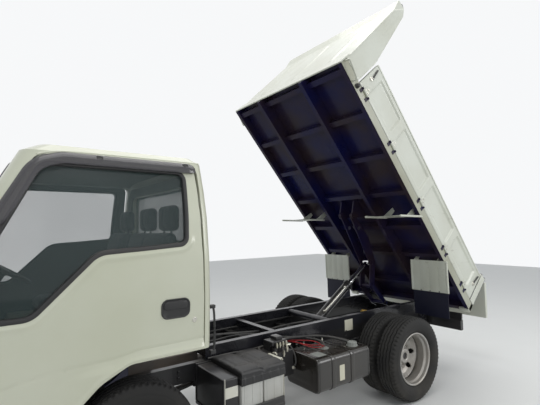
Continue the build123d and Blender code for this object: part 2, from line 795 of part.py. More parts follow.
# seats: right driver's seat and a double seat on the left, each a cushion and a back
seats_table = [  # centre across, width, number of headrests
    (-430.0, 480.0, 1),
    (270.0, 760.0, 2),
]
seat_base = seat_floor + glass_fit
seat_x = ahead(cab_back_reach)
with BuildPart() as seats:
    for across, width, heads in seats_table:
        with BuildSketch(side_view.offset(-across - width / 2)):
            with BuildLine():
                FilletPolyline(
                    (seat_x + 325, seat_base), (seat_x + 225, 960), (seat_x + 95, 1490), (seat_x + 175, 1510),
                    (seat_x + 285, 1110), (seat_x + 335, 1015), (seat_x + 745, 1040), (seat_x + 795, 1000),
                    (seat_x + 775, seat_base),
                    radius=[10, 40, 35, 35, 60, 40, 30, 30, 10], close=True,
                )
            make_face()
        extrude(amount=width)
        for i in range(heads):
            place = across + (i - (heads - 1) / 2) * 380
            with BuildSketch(Plane.YZ.offset(seat_x + 90)):
                with Locations((place, 1600)):
                    RectangleRounded(250, 170, 45)
            extrude(amount=75)
            for post in (-60, 60):
                with Locations((seat_x + 130, place + post, 1510)):
                    Cylinder(7, 60)
keep(seats, "seats")

# steering wheel, on the right
with BuildPart() as steering_wheel:
    with BuildSketch(Plane(origin=wheel_centre, x_dir=column_up, z_dir=(0, 1, 0))):
        with Locations((0, 190)):
            RegularPolygon(14, 8)
    revolve(axis=Axis(wheel_centre, column_up))
    with BuildSketch(wheel_plane.offset(-30)):
        Circle(52)
    extrude(amount=36)
    with BuildSketch(wheel_plane.offset(-10)):
        for turn in (0, 90, 180):
            with Locations(Rotation(0, 0, turn)):
                with Locations((115, 0)):
                    Rectangle(160, 34)
    extrude(amount=12)
keep(steering_wheel, "steering_wheel")

# door mirrors on arms from the front pillars
mirror_reach = door_front_reach + 22
mirror_y = cab_half + 105
with BuildPart() as mirrors:
    for side in (1, -1):
        with BuildSketch(Plane.YZ.offset(ahead(mirror_reach) - 10)):
            with Locations((side * mirror_y, 1440)):
                RectangleRounded(160, 290, 45)
        extrude(amount=55)
        for z in (1250, 1340):
            with Locations((ahead(mirror_reach), side * (half_at(z - 9) + glass_fit + mirror_y + 10) / 2, z)):
                Box(18, mirror_y + 10 - half_at(z - 9) - glass_fit, 18)
        with Locations((ahead(mirror_reach), side * (mirror_y + 1), 1295)):
            Box(18, 18, 108)
keep(mirrors, "mirrors")

# front bumper on the frame, below the cab's nose
bumper_low = 320.0
bumper_high = 445.0
bumper_x = ahead(front_reach)
with BuildPart() as front_bumper:
    with BuildSketch(Plane.XY.offset(bumper_low)):
        with BuildLine():
            FilletPolyline(
                (bumper_x - 240, 800), (bumper_x - 90, 800), (bumper_x, 700), (bumper_x, -700),
                (bumper_x - 90, -800), (bumper_x - 240, -800), (bumper_x - 240, -760), (bumper_x - 120, -740),
                (bumper_x - 70, -640), (bumper_x - 70, 640), (bumper_x - 120, 740), (bumper_x - 240, 760),
                radius=[10, 120, 60, 60, 120, 10, 10, 90, 40, 40, 90, 10], close=True,
            )
        make_face()
    extrude(amount=bumper_high - bumper_low)
    for side in (1, -1):
        with Locations((bumper_x - 154, side * (frame_half - 22), 400)):
            Box(172, 40, 80)
        with Locations((bumper_x - 260, side * (frame_half - 22), 435)):
            Box(60, 40, 90)
keep(front_bumper, "front_bumper")

# knuckles: yoke round the kingpin eye, kingpin, spindle and backing plate
kingpin_gap = 5.0
for side, word in doors.items():
    with BuildPart() as knuckle:
        for level in (1, -1):
            with Locations((front_axle_x, side * (kingpin_y + 8), axle_z + level * (eye_height / 2 + kingpin_gap + 9))):
                Box(64, 84, 18)
        with Locations((front_axle_x, side * (kingpin_y + 44), axle_z)):
            Box(64, 12, eye_height + 2 * kingpin_gap + 36)
        with Locations((front_axle_x, side * kingpin_y, axle_z)):
            Cylinder(pin_radius, eye_height + 2 * kingpin_gap + 4)
        with Locations((front_axle_x, side * (kingpin_y + 53), axle_z)):
            Cylinder(112, 6, rotation=(90, 0, 0))
        with Locations((front_axle_x, side * (kingpin_y + 50 + 57), axle_z)):
            Cylinder(spindle_radius, 114, rotation=(90, 0, 0))
        # steering arm reaching back to where the track rod joins
        with Locations((front_axle_x - 80, side * (kingpin_y + 8 - 26), axle_z - eye_height / 2 - kingpin_gap - 9)):
            Box(120, 24, 18)
    keep(knuckle, "knuckle_" + word)


# sections of a tyre: across from its own middle, out from the axle
tyre_half = tyre_width / 2
bead_half = rim_width / 2 - 10.5
tyre_levels = [
    (-tyre_half, rim_radius + 72), (-tyre_half + 14, tyre_radius - 20), (-tyre_half + 34, tyre_radius),
    (tyre_half - 34, tyre_radius), (tyre_half - 14, tyre_radius - 20), (tyre_half, rim_radius + 72),
]
bead_levels = [(tyre_half, rim_radius + 72), (bead_half, rim_radius + 9)]


def polygon_loft(levels, flat=False):
    # many-sided sections about the Y axis, joined level by level
    with BuildPart(mode=Mode.PRIVATE) as form:
        for across, radius in levels:
            with BuildSketch(Plane.XZ.offset(-across)):
                RegularPolygon(radius, tyre_sides, major_radius=not flat, rotation=90)
        loft(ruled=True)
    return form.part


seat_levels = [(-bead_half - 1, rim_radius + glass_fit), (bead_half + 1, rim_radius + glass_fit)]
dish = polygon_loft(bead_levels)
one_tyre = polygon_loft(tyre_levels) - dish - dish.mirror(Plane.XZ) - polygon_loft(seat_levels, flat=True)


def rim_profile(centre, disc, hub_in, hub_out):
    # section of a rim: barrel with flanges, dished disc, hub
    w = rim_width / 2
    return [
        (centre - w, rim_radius + 8), (centre - w + 9, rim_radius + 8), (centre - w + 10, rim_radius),
        (centre + w - 10, rim_radius), (centre + w - 9, rim_radius + 8), (centre + w, rim_radius + 8),
        (centre + w, rim_radius - rim_wall), (max(centre, disc) + 12, rim_radius - rim_wall - 12), (disc + 5, 125),
        (hub_out, hub_radius), (hub_out, spindle_radius + hub_fit), (hub_in, spindle_radius + hub_fit),
        (hub_in, hub_radius), (disc - 5, hub_radius + 12), (disc - 5, 125),
        (min(centre, disc) - 8, rim_radius - rim_wall - 12), (centre - w, rim_radius - rim_wall),
    ]


wheels = [  # name, axle place, side, tyre centres across, disc place, hub from and to
    ("front_left", front_axle_x, 1, [front_track_half], front_track_half + 30, 662, 775),
    ("front_right", front_axle_x, -1, [front_track_half], front_track_half + 30, 662, 775),
    ("rear_left", rear_axle_x, 1, [rear_inner_half, rear_outer_half], twin_mid, rear_hub_in, twin_mid + 75),
    ("rear_right", rear_axle_x, -1, [rear_inner_half, rear_outer_half], twin_mid, rear_hub_in, twin_mid + 75),
]
for word, wheel_x, side, centres, disc, hub_in, hub_out in wheels:
    spin = Axis((wheel_x, 0, axle_z), (0, 1, 0))
    with BuildPart() as tyre:
        for centre in centres:
            add(one_tyre.moved(Location((wheel_x, side * centre, axle_z))))
    keep(tyre, "tyre_" + word)
    with BuildPart() as rim:
        with BuildSketch(Plane.YZ.offset(wheel_x)):
            for centre in centres:
                with BuildLine():
                    Polyline([
                        (side * y, axle_z + r) for y, r in rim_profile(centre, disc, hub_in, hub_out)
                    ], close=True)
                make_face()
        revolve(axis=spin)
        # hand holes through the disc
        with BuildSketch(Plane.XZ.offset(-side * (disc + 40))):
            with Locations((wheel_x, axle_z)):
                with PolarLocations(165, 8):
                    Circle(22)
        extrude(amount=side * 80, mode=Mode.SUBTRACT)
    keep(rim, "rim_" + word)

# bed floor: plate, two main sills with hinge bosses, cross members, side rails and rear posts
floor_low = floor_top - floor_plate
bed_length = bed_front - bed_back
cross_members = [-115, 180, 640, 1020, 1440, 1860, 2280, 2700]
rear_post = 92.0
post_top = 515.0
hinge_places = [157, 658, 1255, 1900, 2440]
gate_axis_y = bed_half + 9.0
with BuildPart(bed_flat) as bed_floor:
    with Locations(((bed_front + bed_back) / 2, 0, floor_top - floor_plate / 2)):
        Box(bed_length, 2 * bed_half - 4, floor_plate)
    for side in (1, -1):
        with Locations(((bed_front + bed_back) / 2, side * sill_y, floor_low / 2)):
            Box(bed_length, sill_width, floor_low)
        with Locations(((bed_front + bed_back) / 2, side * (bed_half - side_rail_width / 2),
                        (side_rail_low + floor_low) / 2)):
            Box(bed_length, side_rail_width, floor_low - side_rail_low)
        with Locations((bed_back + rear_post / 2, side * (bed_half - 20), (floor_top + post_top) / 2)):
            Box(rear_post, 40, post_top - floor_top)
    for place in cross_members:
        with Locations((place, 0, (side_rail_low + 16 + floor_low) / 2)):
            Box(50, 2 * bed_half - 40, floor_low - side_rail_low - 16)
    for side in (1, -1):
        with BuildSketch(bed_side.offset(-side * boss_in)):
            Circle(hinge_boss)
        extrude(amount=-side * sill_width)
        with BuildSketch(bed_side.offset(-side * (boss_in - 1))):
            Circle(hinge_pin + pin_fit)
        extrude(amount=-side * (sill_width + 2), mode=Mode.SUBTRACT)
        # lugs that carry the lift arm
        with BuildSketch(bed_side.offset(-side * 80)):
            with BuildLine():
                Polyline(
                    (arm_pivot_x - 150, floor_low), (arm_pivot_x + 150, floor_low), (arm_pivot_x + 34, arm_pivot_z),
                    (arm_pivot_x, arm_pivot_z - 34), (arm_pivot_x - 34, arm_pivot_z), close=True,
                )
            make_face()
            with Locations((arm_pivot_x, arm_pivot_z)):
                Circle(34)
                Circle(16 + pin_fit, mode=Mode.SUBTRACT)
        extrude(amount=-side * 14)
        # knuckles of the side gate's hinges
        for place in hinge_places:
            for shift in (-45, 45):
                with Locations((place + shift, side * gate_axis_y, floor_top)):
                    Cylinder(8, 30 - glass_fit, rotation=(0, 90, 0))
                with Locations((place + shift, side * (bed_half + 3), floor_top - 24)):
                    Box(30 - glass_fit, 6, 40)
        # ears that carry the tailgate
        with BuildSketch(bed_side.offset(-side * (bed_half - 40))):
            with BuildLine():
                Polyline(
                    (bed_back + 60, post_top - 3), (tail_axis_x, tail_axis_z + 22), (tail_axis_x - 22, tail_axis_z),
                    (tail_axis_x, tail_axis_z - 22), (bed_back, post_top - 3), close=True,
                )
            make_face()
            with Locations((tail_axis_x, tail_axis_z)):
                Circle(22)
                Circle(12 + pin_fit, mode=Mode.SUBTRACT)
        extrude(amount=-side * 18)
keep(bed_floor, "bed_floor")

# headboard: face panel leaning forward to a boxed lip, with a gusset plate at each side
with BuildPart() as headboard:
    with BuildSketch(bed_side.offset(-bed_half)):
        with BuildLine():
            Polyline(
                (bed_front, floor_top), (bed_front + 57, 1060), (bed_front + 97, 1196), (bed_front + 2, headboard_top),
                (bed_front - 55, 1146), (bed_front + 17, 1060), (bed_front - 36, floor_top), close=True,
            )
        make_face()
    extrude(amount=2 * bed_half)
    for side in (1, -1):
        with BuildSketch(bed_side.offset(-side * (bed_half - 16))):
            with BuildLine():
                Polyline(
                    (bed_front, floor_top), (bed_front + 57, 1060), (bed_front + 2, headboard_top),
                    (bed_front - 55, 1146), (bed_front - 207, 448), (bed_front - 214, floor_top), close=True,
                )
            make_face()
        extrude(amount=-side * 16)
    with BuildSketch(bed_side.offset(-bed_half)):
        with Locations((bed_front + 6, (side_rail_low + floor_top + 60) / 2)):
            Rectangle(12, floor_top + 60 - side_rail_low)
    extrude(amount=2 * bed_half)
keep(headboard, "headboard")

# side gates: hinged along their lower outer edge, pressed panels between the ribs
gate_ribs = [gate_back + 60, 640.0, 1300.0, 1960.0, gate_front - 60]
rib_half = 45.0
gate_panels = [(a + rib_half, b - rib_half) for a, b in zip(gate_ribs, gate_ribs[1:])]
for side, word in doors.items():
    with BuildPart(bed_flat) as side_gate:
        with Locations(((gate_back + gate_front) / 2 + 3, side * (bed_half - gate_thick / 2),
                        (floor_top + gate_gap + gate_high) / 2)):
            Box(gate_front - gate_back - gate_gap, gate_thick, gate_high - floor_top - gate_gap)
        for low, high in gate_panels:
            with Locations(((low + high) / 2, side * bed_half, (floor_top + gate_high) / 2 + 6)):
                Box(high - low, 16, gate_high - floor_top - 110, mode=Mode.SUBTRACT)
        for place in hinge_places:
            with Locations((place, side * gate_axis_y, floor_top)):
                Cylinder(8, 60, rotation=(0, 90, 0))
            with Locations((place, side * (bed_half + 3), floor_top + 24)):
                Box(60, 6, 40)
    keep(side_gate, "side_gate_" + word)

# tailgate hanging upright from its top hinges
tail_x, tail_z = in_bed(tail_axis_x, tail_axis_z)
with BuildPart() as tailgate:
    with Locations((tail_x - 4, 0, tail_z - 36 - (tail_drop - 36) / 2)):
        Box(tail_thick, 2 * tail_half, tail_drop - 36)
    for place in (-480, 0, 480):
        with Locations((tail_x - 23, place, tail_z - 36 - (tail_drop - 36) / 2)):
            Box(14, 400, tail_drop - 130, mode=Mode.SUBTRACT)
    for side in (1, -1):
        with BuildSketch(side_view.offset(-side * (bed_half - 76))):
            with BuildLine():
                Polyline(
                    (tail_x - 20, tail_z - 40), (tail_x - 20, tail_z), (tail_x + 20, tail_z), (tail_x + 15, tail_z - 40),
                    close=True,
                )
            make_face()
            with Locations((tail_x, tail_z)):
                Circle(20)
        extrude(amount=-side * 30)
        with BuildSketch(side_view.offset(-side * (bed_half - 50))):
            with Locations((tail_x, tail_z)):
                Circle(12)
        extrude(amount=-side * 36)
keep(tailgate, "tailgate")

# mudguard plates over the rear wheels, hung below the floor
guard_in = 439.0
guard_out = 840.0
guards = [  # upper edge along and up, lower edge along and up
    (1183, 20, 1400, -230),
    (593, 34, 343, -160),
]
with BuildPart() as mudguards:
    for x0, z0, x1, z1 in guards:
        run = hypot(x1 - x0, z1 - z0)
        lean = 1 if x1 > x0 else -1
        nx = (z1 - z0) / run * 5
        nz = -(x1 - x0) / run * 5
        for side in (1, -1):
            with BuildSketch(bed_side.offset(-side * guard_in)):
                with BuildLine():
                    Polyline((x0, z0), (x1, z1), (x1 + nx, z1 + nz), (x0 + nx, z0 + nz), close=True)
                make_face()
            extrude(amount=-side * (guard_out - guard_in))
            with BuildSketch(bed_side.offset(-side * (guard_in + 40))):
                with BuildLine():
                    Polyline(
                        (x0, floor_low), (x0 + lean * 40, floor_low), (x0 + (x1 - x0) * 0.3, z0 + (z1 - z0) * 0.3),
                        (x0, z0), close=True,
                    )
                make_face()
            extrude(amount=-side * 8)
            with BuildSketch(bed_side.offset(-side * (guard_out - 110))):
                with BuildLine():
                    Polyline(
                        (x0, floor_low), (x0 + lean * 40, floor_low), (x0 + (x1 - x0) * 0.3, z0 + (z1 - z0) * 0.3),
                        (x0, z0), close=True,
                    )
                make_face()
            extrude(amount=-side * 8)
keep(mudguards, "mudguards")

flap_drop = 250.0
with BuildPart() as mud_flaps:
    x0, z0, x1, z1 = guards[1]
    run = hypot(x1 - x0, z1 - z0)
    ux = (x1 - x0) / run
    uz = (z1 - z0) / run
    for side in (1, -1):
        with BuildSketch(bed_side.offset(-side * (guard_in + 10))):
            with BuildLine():
                Polyline(
                    (x1, z1), (x1 + ux * flap_drop, z1 + uz * flap_drop),
                    (x1 + ux * flap_drop + uz * 5, z1 + uz * flap_drop - ux * 5), (x1 + uz * 5, z1 - ux * 5),
                    close=True,
                )
            make_face()
        extrude(amount=-side * (guard_out - guard_in - 20))
keep(mud_flaps, "mud_flaps")

# lift arm: two plates from the bed pivot past the rod's pin to the tension link
arm_x, arm_z = in_bed(arm_pivot_x, arm_pivot_z)
arm_along = Vector(cos(radians(arm_angle)), 0, sin(radians(arm_angle)))
arm_side = Plane(origin=(arm_x, 0, arm_z), x_dir=arm_along, z_dir=(0, -1, 0))
with BuildPart() as lift_arm:
    for side in (1, -1):
        with BuildSketch(arm_side.offset(-side * arm_plate_y)):
            with BuildLine():
                Polyline(
                    (0, 32), (arm_reach, 46), (arm_tail_along - 30, arm_tail_across + 26),
                    (arm_tail_along + 22, arm_tail_across - 30), (arm_reach + 20, -44), (arm_reach * 0.55, -95),
                    (0, -32), close=True,
                )
            make_face()
            with Locations((0, 0)):
                Circle(32)
            with Locations((arm_tail_along, arm_tail_across)):
                Circle(36)
            with Locations((arm_reach * 0.28, -14)):
                Circle(22, mode=Mode.SUBTRACT)
        extrude(amount=-side * arm_plate)
        with BuildSketch(arm_side.offset(-side * arm_plate_y)):
            Circle(16)
        extrude(amount=-side * 40)
        with BuildSketch(arm_side.offset(-side * (arm_plate_y + arm_plate))):
            with Locations((arm_reach, 0)):
                Circle(24)
        extrude(amount=-side * 8)
    with BuildSketch(arm_side.offset(-arm_plate_y)):
        with Locations((arm_tail_along, arm_tail_across), (arm_reach * 0.58, -66)):
            Circle(20)
    extrude(amount=2 * arm_plate_y)
keep(lift_arm, "lift_arm")

# tension link: two plates outside the lift arm, on a cross tube at the subframe lugs
arm_across = arm_side.y_dir
tail_point = Vector(arm_x, 0, arm_z) + arm_along * arm_tail_along + arm_across * arm_tail_across
link_along = Vector(tail_point.X - link_x, 0, tail_point.Z - link_height)
link_length = link_along.length
link_side = Plane(origin=(link_x, 0, link_height), x_dir=link_along, z_dir=(0, -1, 0))
with BuildPart() as tension_link:
    for side in (1, -1):
        with BuildSketch(link_side.offset(-side * link_plate_y)):
            with Locations((link_length / 2, 0)):
                SlotCenterToCenter(link_length, 50)
        extrude(amount=-side * 12)
    with BuildSketch(link_side.offset(-link_plate_y)):
        Circle(20)
    extrude(amount=2 * link_plate_y)
    with BuildSketch(link_side.offset(-link_lug_y - 14)):
        Circle(pin_radius)
    extrude(amount=2 * (link_lug_y + 14))
keep(tension_link, "tension_link")

# hoist cylinder: barrel with its eye on the subframe pin, rod with an eye between the arm plates
rod_point = Vector(arm_x, 0, arm_z) + arm_along * arm_reach
stroke_dir = Vector(rod_point.X - cylinder_x, 0, rod_point.Z - cylinder_height)
rod_reach = stroke_dir.length
cylinder_line = Plane(origin=(cylinder_x, 0, cylinder_height), x_dir=(0, 1, 0), z_dir=stroke_dir)
cylinder_side = Plane(origin=(cylinder_x, 0, cylinder_height), x_dir=stroke_dir, z_dir=(0, -1, 0))
bore_radius = barrel_radius - 8
with BuildPart() as hoist_barrel:
    with BuildSketch(cylinder_line.offset(eye_radius - 6)):
        Circle(barrel_radius)
    extrude(amount=barrel_length - eye_radius + 6)
    with BuildSketch(cylinder_line.offset(eye_radius + 20)):
        Circle(bore_radius)
    extrude(amount=barrel_length - eye_radius - 20 - 40, mode=Mode.SUBTRACT)
    with BuildSketch(cylinder_line.offset(barrel_length - 60)):
        Circle(rod_radius + pin_fit)
    extrude(amount=80, mode=Mode.SUBTRACT)
    with BuildSketch(cylinder_side.offset(-38)):
        Circle(eye_radius)
    extrude(amount=76)
    with BuildSketch(cylinder_side.offset(-40)):
        Circle(pin_radius + pin_fit)
    extrude(amount=80, mode=Mode.SUBTRACT)
    with BuildSketch(cylinder_line.offset(barrel_length - 46)):
        Circle(barrel_radius + 7)
        Circle(barrel_radius - 2, mode=Mode.SUBTRACT)
    extrude(amount=34)
keep(hoist_barrel, "hoist_barrel")

with BuildPart() as hoist_rod:
    with BuildSketch(cylinder_line.offset(rod_reach - 520)):
        Circle(rod_radius)
    extrude(amount=520 - eye_radius + 4)
    with BuildSketch(cylinder_line.offset(rod_reach - 520)):
        Circle(bore_radius - 0.4)
    extrude(amount=40)
    with Locations(Plane(origin=rod_point, x_dir=stroke_dir, z_dir=(0, -1, 0))):
        Cylinder(eye_radius, 76)
        Cylinder(16, 90, mode=Mode.SUBTRACT)
keep(hoist_rod, "hoist_rod")

print("rear axle", round(rear_axle_x, 2), "front axle", round(front_axle_x, 2), "hinge", round(hinge_x, 2))
print("tail axis", round(tail_x, 2), round(tail_z, 2))
print("arm pivot", round(arm_x, 2), round(arm_z, 2), "rod", round(rod_point.X, 2), round(rod_point.Z, 2))
print("tail point", round(tail_point.X, 2), round(tail_point.Z, 2), "link", round(link_x, 2), link_length)
print("rod reach", round(rod_reach, 2), "cylinder", round(cylinder_x, 2), cylinder_height)
print("wheel", wheel_centre, column_up)
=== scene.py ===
import math
import bpy, bmesh
import numpy as np
from mathutils import Matrix, Vector


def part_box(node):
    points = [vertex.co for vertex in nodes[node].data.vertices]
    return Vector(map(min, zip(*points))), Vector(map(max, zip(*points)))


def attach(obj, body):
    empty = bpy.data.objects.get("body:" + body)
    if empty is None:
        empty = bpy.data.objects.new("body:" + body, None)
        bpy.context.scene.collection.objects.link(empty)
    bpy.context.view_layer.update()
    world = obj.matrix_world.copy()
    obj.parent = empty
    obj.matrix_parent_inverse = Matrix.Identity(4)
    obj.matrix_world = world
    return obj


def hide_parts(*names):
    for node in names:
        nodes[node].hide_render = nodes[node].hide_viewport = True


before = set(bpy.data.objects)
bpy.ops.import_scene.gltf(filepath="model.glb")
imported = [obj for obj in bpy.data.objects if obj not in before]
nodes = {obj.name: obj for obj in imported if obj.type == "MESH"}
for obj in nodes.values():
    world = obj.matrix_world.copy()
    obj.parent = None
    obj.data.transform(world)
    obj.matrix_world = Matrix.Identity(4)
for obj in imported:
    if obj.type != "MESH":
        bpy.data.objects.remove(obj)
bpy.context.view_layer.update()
print("frame loaded:", len(nodes), "nodes")

# Light dump truck with its bed raised. Lengths are metres: X forward, Y left, Z up.

truck = {
    "rearAxleX": -1.04947, "frontAxleX": 1.38053, "axleZ": 0.357,
    "bedTilt": 50.0, "bedHingeX": -1.97947, "bedHingeZ": 0.700,
}


def ahead(reach):  # millimetres forward of the rear axle, as a place along X
    return truck["rearAxleX"] + np.asarray(reach, float) / 1000.0


def inBed(x, y, z):  # the bed's own axes, millimetres, turned up by its tilt about the rear hinge
    c, s = math.cos(math.radians(truck["bedTilt"])), math.sin(math.radians(truck["bedTilt"]))
    x, y, z = [np.asarray(v, float) / 1000.0 for v in (x, y, z)]
    x, y, z = np.broadcast_arrays(x, y, z)
    return np.stack([truck["bedHingeX"] + c * x - s * z, y, truck["bedHingeZ"] + s * x + c * z], -1)


# camera, lamps and floor

shot = {
    "eye": (2.0695, 2.895, 1.523), "yaw": 233.25, "pitch": 3.86, "roll": -0.85,
    "focalPixels": 388.7, "imageWidth": 540, "sensor": 36.0,
    "floorColour": (0.80, 0.80, 0.79), "backdrop": (0.93, 0.94, 0.95),
    "fill": (0.82, 0.87, 0.90), "fillStrength": 0.50,
}


def addCamera():
    yaw, pitch, roll = [math.radians(shot[k]) for k in ("yaw", "pitch", "roll")]
    look = Vector((math.cos(yaw) * math.cos(pitch), math.sin(yaw) * math.cos(pitch), math.sin(pitch)))
    right = look.cross(Vector((0, 0, 1))).normalized()
    up = right.cross(look)
    across = right * math.cos(roll) + up * math.sin(roll)
    upright = up * math.cos(roll) - right * math.sin(roll)
    data = bpy.data.cameras.new("photoView")
    data.sensor_width = shot["sensor"]
    data.lens = shot["sensor"] * shot["focalPixels"] / shot["imageWidth"]
    data.clip_start, data.clip_end = 0.05, 100.0
    camera = bpy.data.objects.new("photoView", data)
    turn = Matrix((across, upright, -look)).transposed().to_4x4()
    camera.matrix_world = Matrix.Translation(shot["eye"]) @ turn
    bpy.context.scene.collection.objects.link(camera)
    bpy.context.scene.camera = camera


def addLamp(name, place, target, size, power, colour=(1, 1, 1)):
    data = bpy.data.lights.new(name, "AREA")
    data.shape = "RECTANGLE"
    data.size, data.size_y = size
    data.energy = power
    data.color = colour
    lamp = bpy.data.objects.new(name, data)
    aim = Vector(target) - Vector(place)
    lamp.matrix_world = Matrix.Translation(place) @ aim.to_track_quat("-Z", "Y").to_matrix().to_4x4()
    bpy.context.scene.collection.objects.link(lamp)


def addWorld():
    # camera, glossy and transmitted rays see the pale backdrop, all the others a weaker fill
    world = bpy.data.worlds.new("studio")
    bpy.context.scene.world = world
    world.use_nodes = True
    tree = world.node_tree
    tree.nodes.clear()
    ray = tree.nodes.new("ShaderNodeLightPath")
    seen = ray.outputs["Is Camera Ray"]
    for kind in ("Is Glossy Ray", "Is Transmission Ray"):
        either = tree.nodes.new("ShaderNodeMath")
        either.operation = "MAXIMUM"
        tree.links.new(seen, either.inputs[0])
        tree.links.new(ray.outputs[kind], either.inputs[1])
        seen = either.outputs[0]
    mix = tree.nodes.new("ShaderNodeMixShader")
    tree.links.new(seen, mix.inputs["Fac"])
    for socket, key, strength in ((1, "fill", shot["fillStrength"]), (2, "backdrop", 1.0)):
        light = tree.nodes.new("ShaderNodeBackground")
        light.inputs["Color"].default_value = (*shot[key], 1)
        light.inputs["Strength"].default_value = strength
        tree.links.new(light.outputs[0], mix.inputs[socket])
    out = tree.nodes.new("ShaderNodeOutputWorld")
    tree.links.new(mix.outputs[0], out.inputs["Surface"])


bpy.context.scene.view_settings.view_transform = "Standard"
addCamera()
addWorld()
addLamp("overhead", (-0.6, 0.2, 6.6), (-0.6, 0.0, 0.0), (7.0, 5.0), 205.0, (1.0, 0.99, 0.96))
addLamp("bedSide", (-3.6, 5.2, 3.4), (-1.4, 0.4, 1.8), (3.0, 2.4), 95.0)
addLamp("frontSoft", (4.8, 4.2, 3.0), (1.4, 0.0, 1.0), (2.6, 2.2), 24.0)
print("camera and lamps set")


# mesh helpers

def putMesh(name, points, faces, skins, marks=None, sharp=32.0):
    # points is n by 3, faces is m by 4 or m by 3, filled in as whole arrays; marks numbers each face's skin
    mesh = bpy.data.meshes.new(name)
    points = np.ascontiguousarray(points, np.float32)
    faces = np.ascontiguousarray(faces, np.int32)
    count, corners = faces.shape
    mesh.vertices.add(len(points))
    mesh.vertices.foreach_set("co", points.ravel())
    mesh.loops.add(count * corners)
    mesh.loops.foreach_set("vertex_index", faces.ravel())
    mesh.polygons.add(count)
    mesh.polygons.foreach_set("loop_start", np.arange(0, count * corners, corners, dtype=np.int32))
    for skin in skins:
        mesh.materials.append(materials[skin])
    if marks is not None:
        mesh.polygons.foreach_set("material_index", np.ascontiguousarray(marks, np.int32))
    mesh.update(calc_edges=True)
    mesh.validate()
    work = bmesh.new()
    work.from_mesh(mesh)
    bmesh.ops.remove_doubles(work, verts=work.verts, dist=1e-5)
    bmesh.ops.dissolve_degenerate(work, edges=work.edges, dist=1e-6)
    bmesh.ops.recalc_face_normals(work, faces=work.faces)
    work.to_mesh(mesh)
    work.free()
    mesh.polygons.foreach_set("use_smooth", np.ones(len(mesh.polygons), bool))
    mesh.set_sharp_from_angle(angle=math.radians(sharp))
    mesh.update()
    piece = bpy.data.objects.new(name, mesh)
    bpy.context.scene.collection.objects.link(piece)
    return piece


def gridFaces(rows, columns, wrapRows=False, wrapColumns=False, start=0):
    # quads of a grid of points kept row by row, with either direction closed on itself
    r = np.arange(rows if wrapRows else rows - 1)
    c = np.arange(columns if wrapColumns else columns - 1)
    r, c = np.meshgrid(r, c, indexing="ij")
    r2, c2 = (r + 1) % rows, (c + 1) % columns
    quads = np.stack([r * columns + c, r * columns + c2, r2 * columns + c2, r2 * columns + c], -1)
    return quads.reshape(-1, 4) + start


def gridPiece(name, surface, skins, wrapRows=False, wrapColumns=True, bands=None, sharp=32.0):
    # surface is rows by columns by 3; bands gives a skin's number for each band of rows
    rows, columns = surface.shape[:2]
    faces = gridFaces(rows, columns, wrapRows, wrapColumns)
    marks = None if bands is None else np.repeat(bands, columns if wrapColumns else columns - 1)
    return putMesh(name, surface.reshape(-1, 3), faces, skins, marks, sharp)


def joinGrids(name, surfaces, skins, marks=None, wraps=(False, True), sharp=32.0):
    # several grids put into one mesh; wraps says which directions close, for all of them or grid by grid
    if isinstance(wraps, tuple):
        wraps = [wraps] * len(surfaces)
    marks = marks or [0] * len(surfaces)
    points, faces, start = [], [], 0
    for surface, wrap in zip(surfaces, wraps):
        faces.append(gridFaces(*surface.shape[:2], *wrap, start=start))
        points.append(surface.reshape(-1, 3))
        start += len(points[-1])
    marks = np.concatenate([np.full(len(quads), mark) for quads, mark in zip(faces, marks)])
    return putMesh(name, np.concatenate(points), np.concatenate(faces), skins, marks, sharp)


def smooth(t):  # eases from 0 to 1
    t = np.clip(t, 0.0, 1.0)
    return t * t * (3.0 - 2.0 * t)


def roundedPath(points, radii, steps=7, closed=True):
    # each corner becomes an arc tangent to its two runs; a radius too large for them is cut down
    pts = [np.asarray(p, float) for p in points]
    radii = [radii] * len(pts) if np.isscalar(radii) else list(radii)
    out = []
    for i, corner in enumerate(pts):
        if not closed and i in (0, len(pts) - 1):
            out.append(corner[None])
            continue
        a, b = pts[i - 1] - corner, pts[(i + 1) % len(pts)] - corner
        la, lb = np.linalg.norm(a), np.linalg.norm(b)
        a, b = a / la, b / lb
        half = 0.5 * math.acos(float(np.clip(np.dot(a, b), -1, 1)))
        reach = min(radii[i] / math.tan(half), 0.49 * la, 0.49 * lb)
        radius = reach * math.tan(half)
        if radius < 1e-6:
            out.append(corner[None])
            continue
        middle = (a + b) / np.linalg.norm(a + b) * (radius / math.sin(half))
        centre = corner + middle
        p, q = corner + a * reach - centre, corner + b * reach - centre
        swing = math.acos(float(np.clip(np.dot(p, q) / radius ** 2, -1, 1)))
        t = np.linspace(0, 1, steps)[:, None]
        out.append(centre + (np.sin((1 - t) * swing) * p + np.sin(t * swing) * q) / math.sin(swing))
    return np.concatenate(out)


def evenPath(points, count, closed=True):
    # the same path with its points evenly spaced along it
    pts = np.concatenate([points, points[:1]]) if closed else points
    along = np.concatenate([[0], np.cumsum(np.linalg.norm(np.diff(pts, axis=0), axis=1))])
    keep = np.concatenate([[True], np.diff(along) > 1e-9])
    t = np.linspace(0, along[-1], count, endpoint=not closed)
    return np.stack([np.interp(t, along[keep], pts[keep, k]) for k in range(pts.shape[1])], -1)


def circle(count, radius=1.0):
    t = np.linspace(0, 2 * math.pi, count, endpoint=False)
    return np.stack([radius * np.cos(t), radius * np.sin(t)], -1)


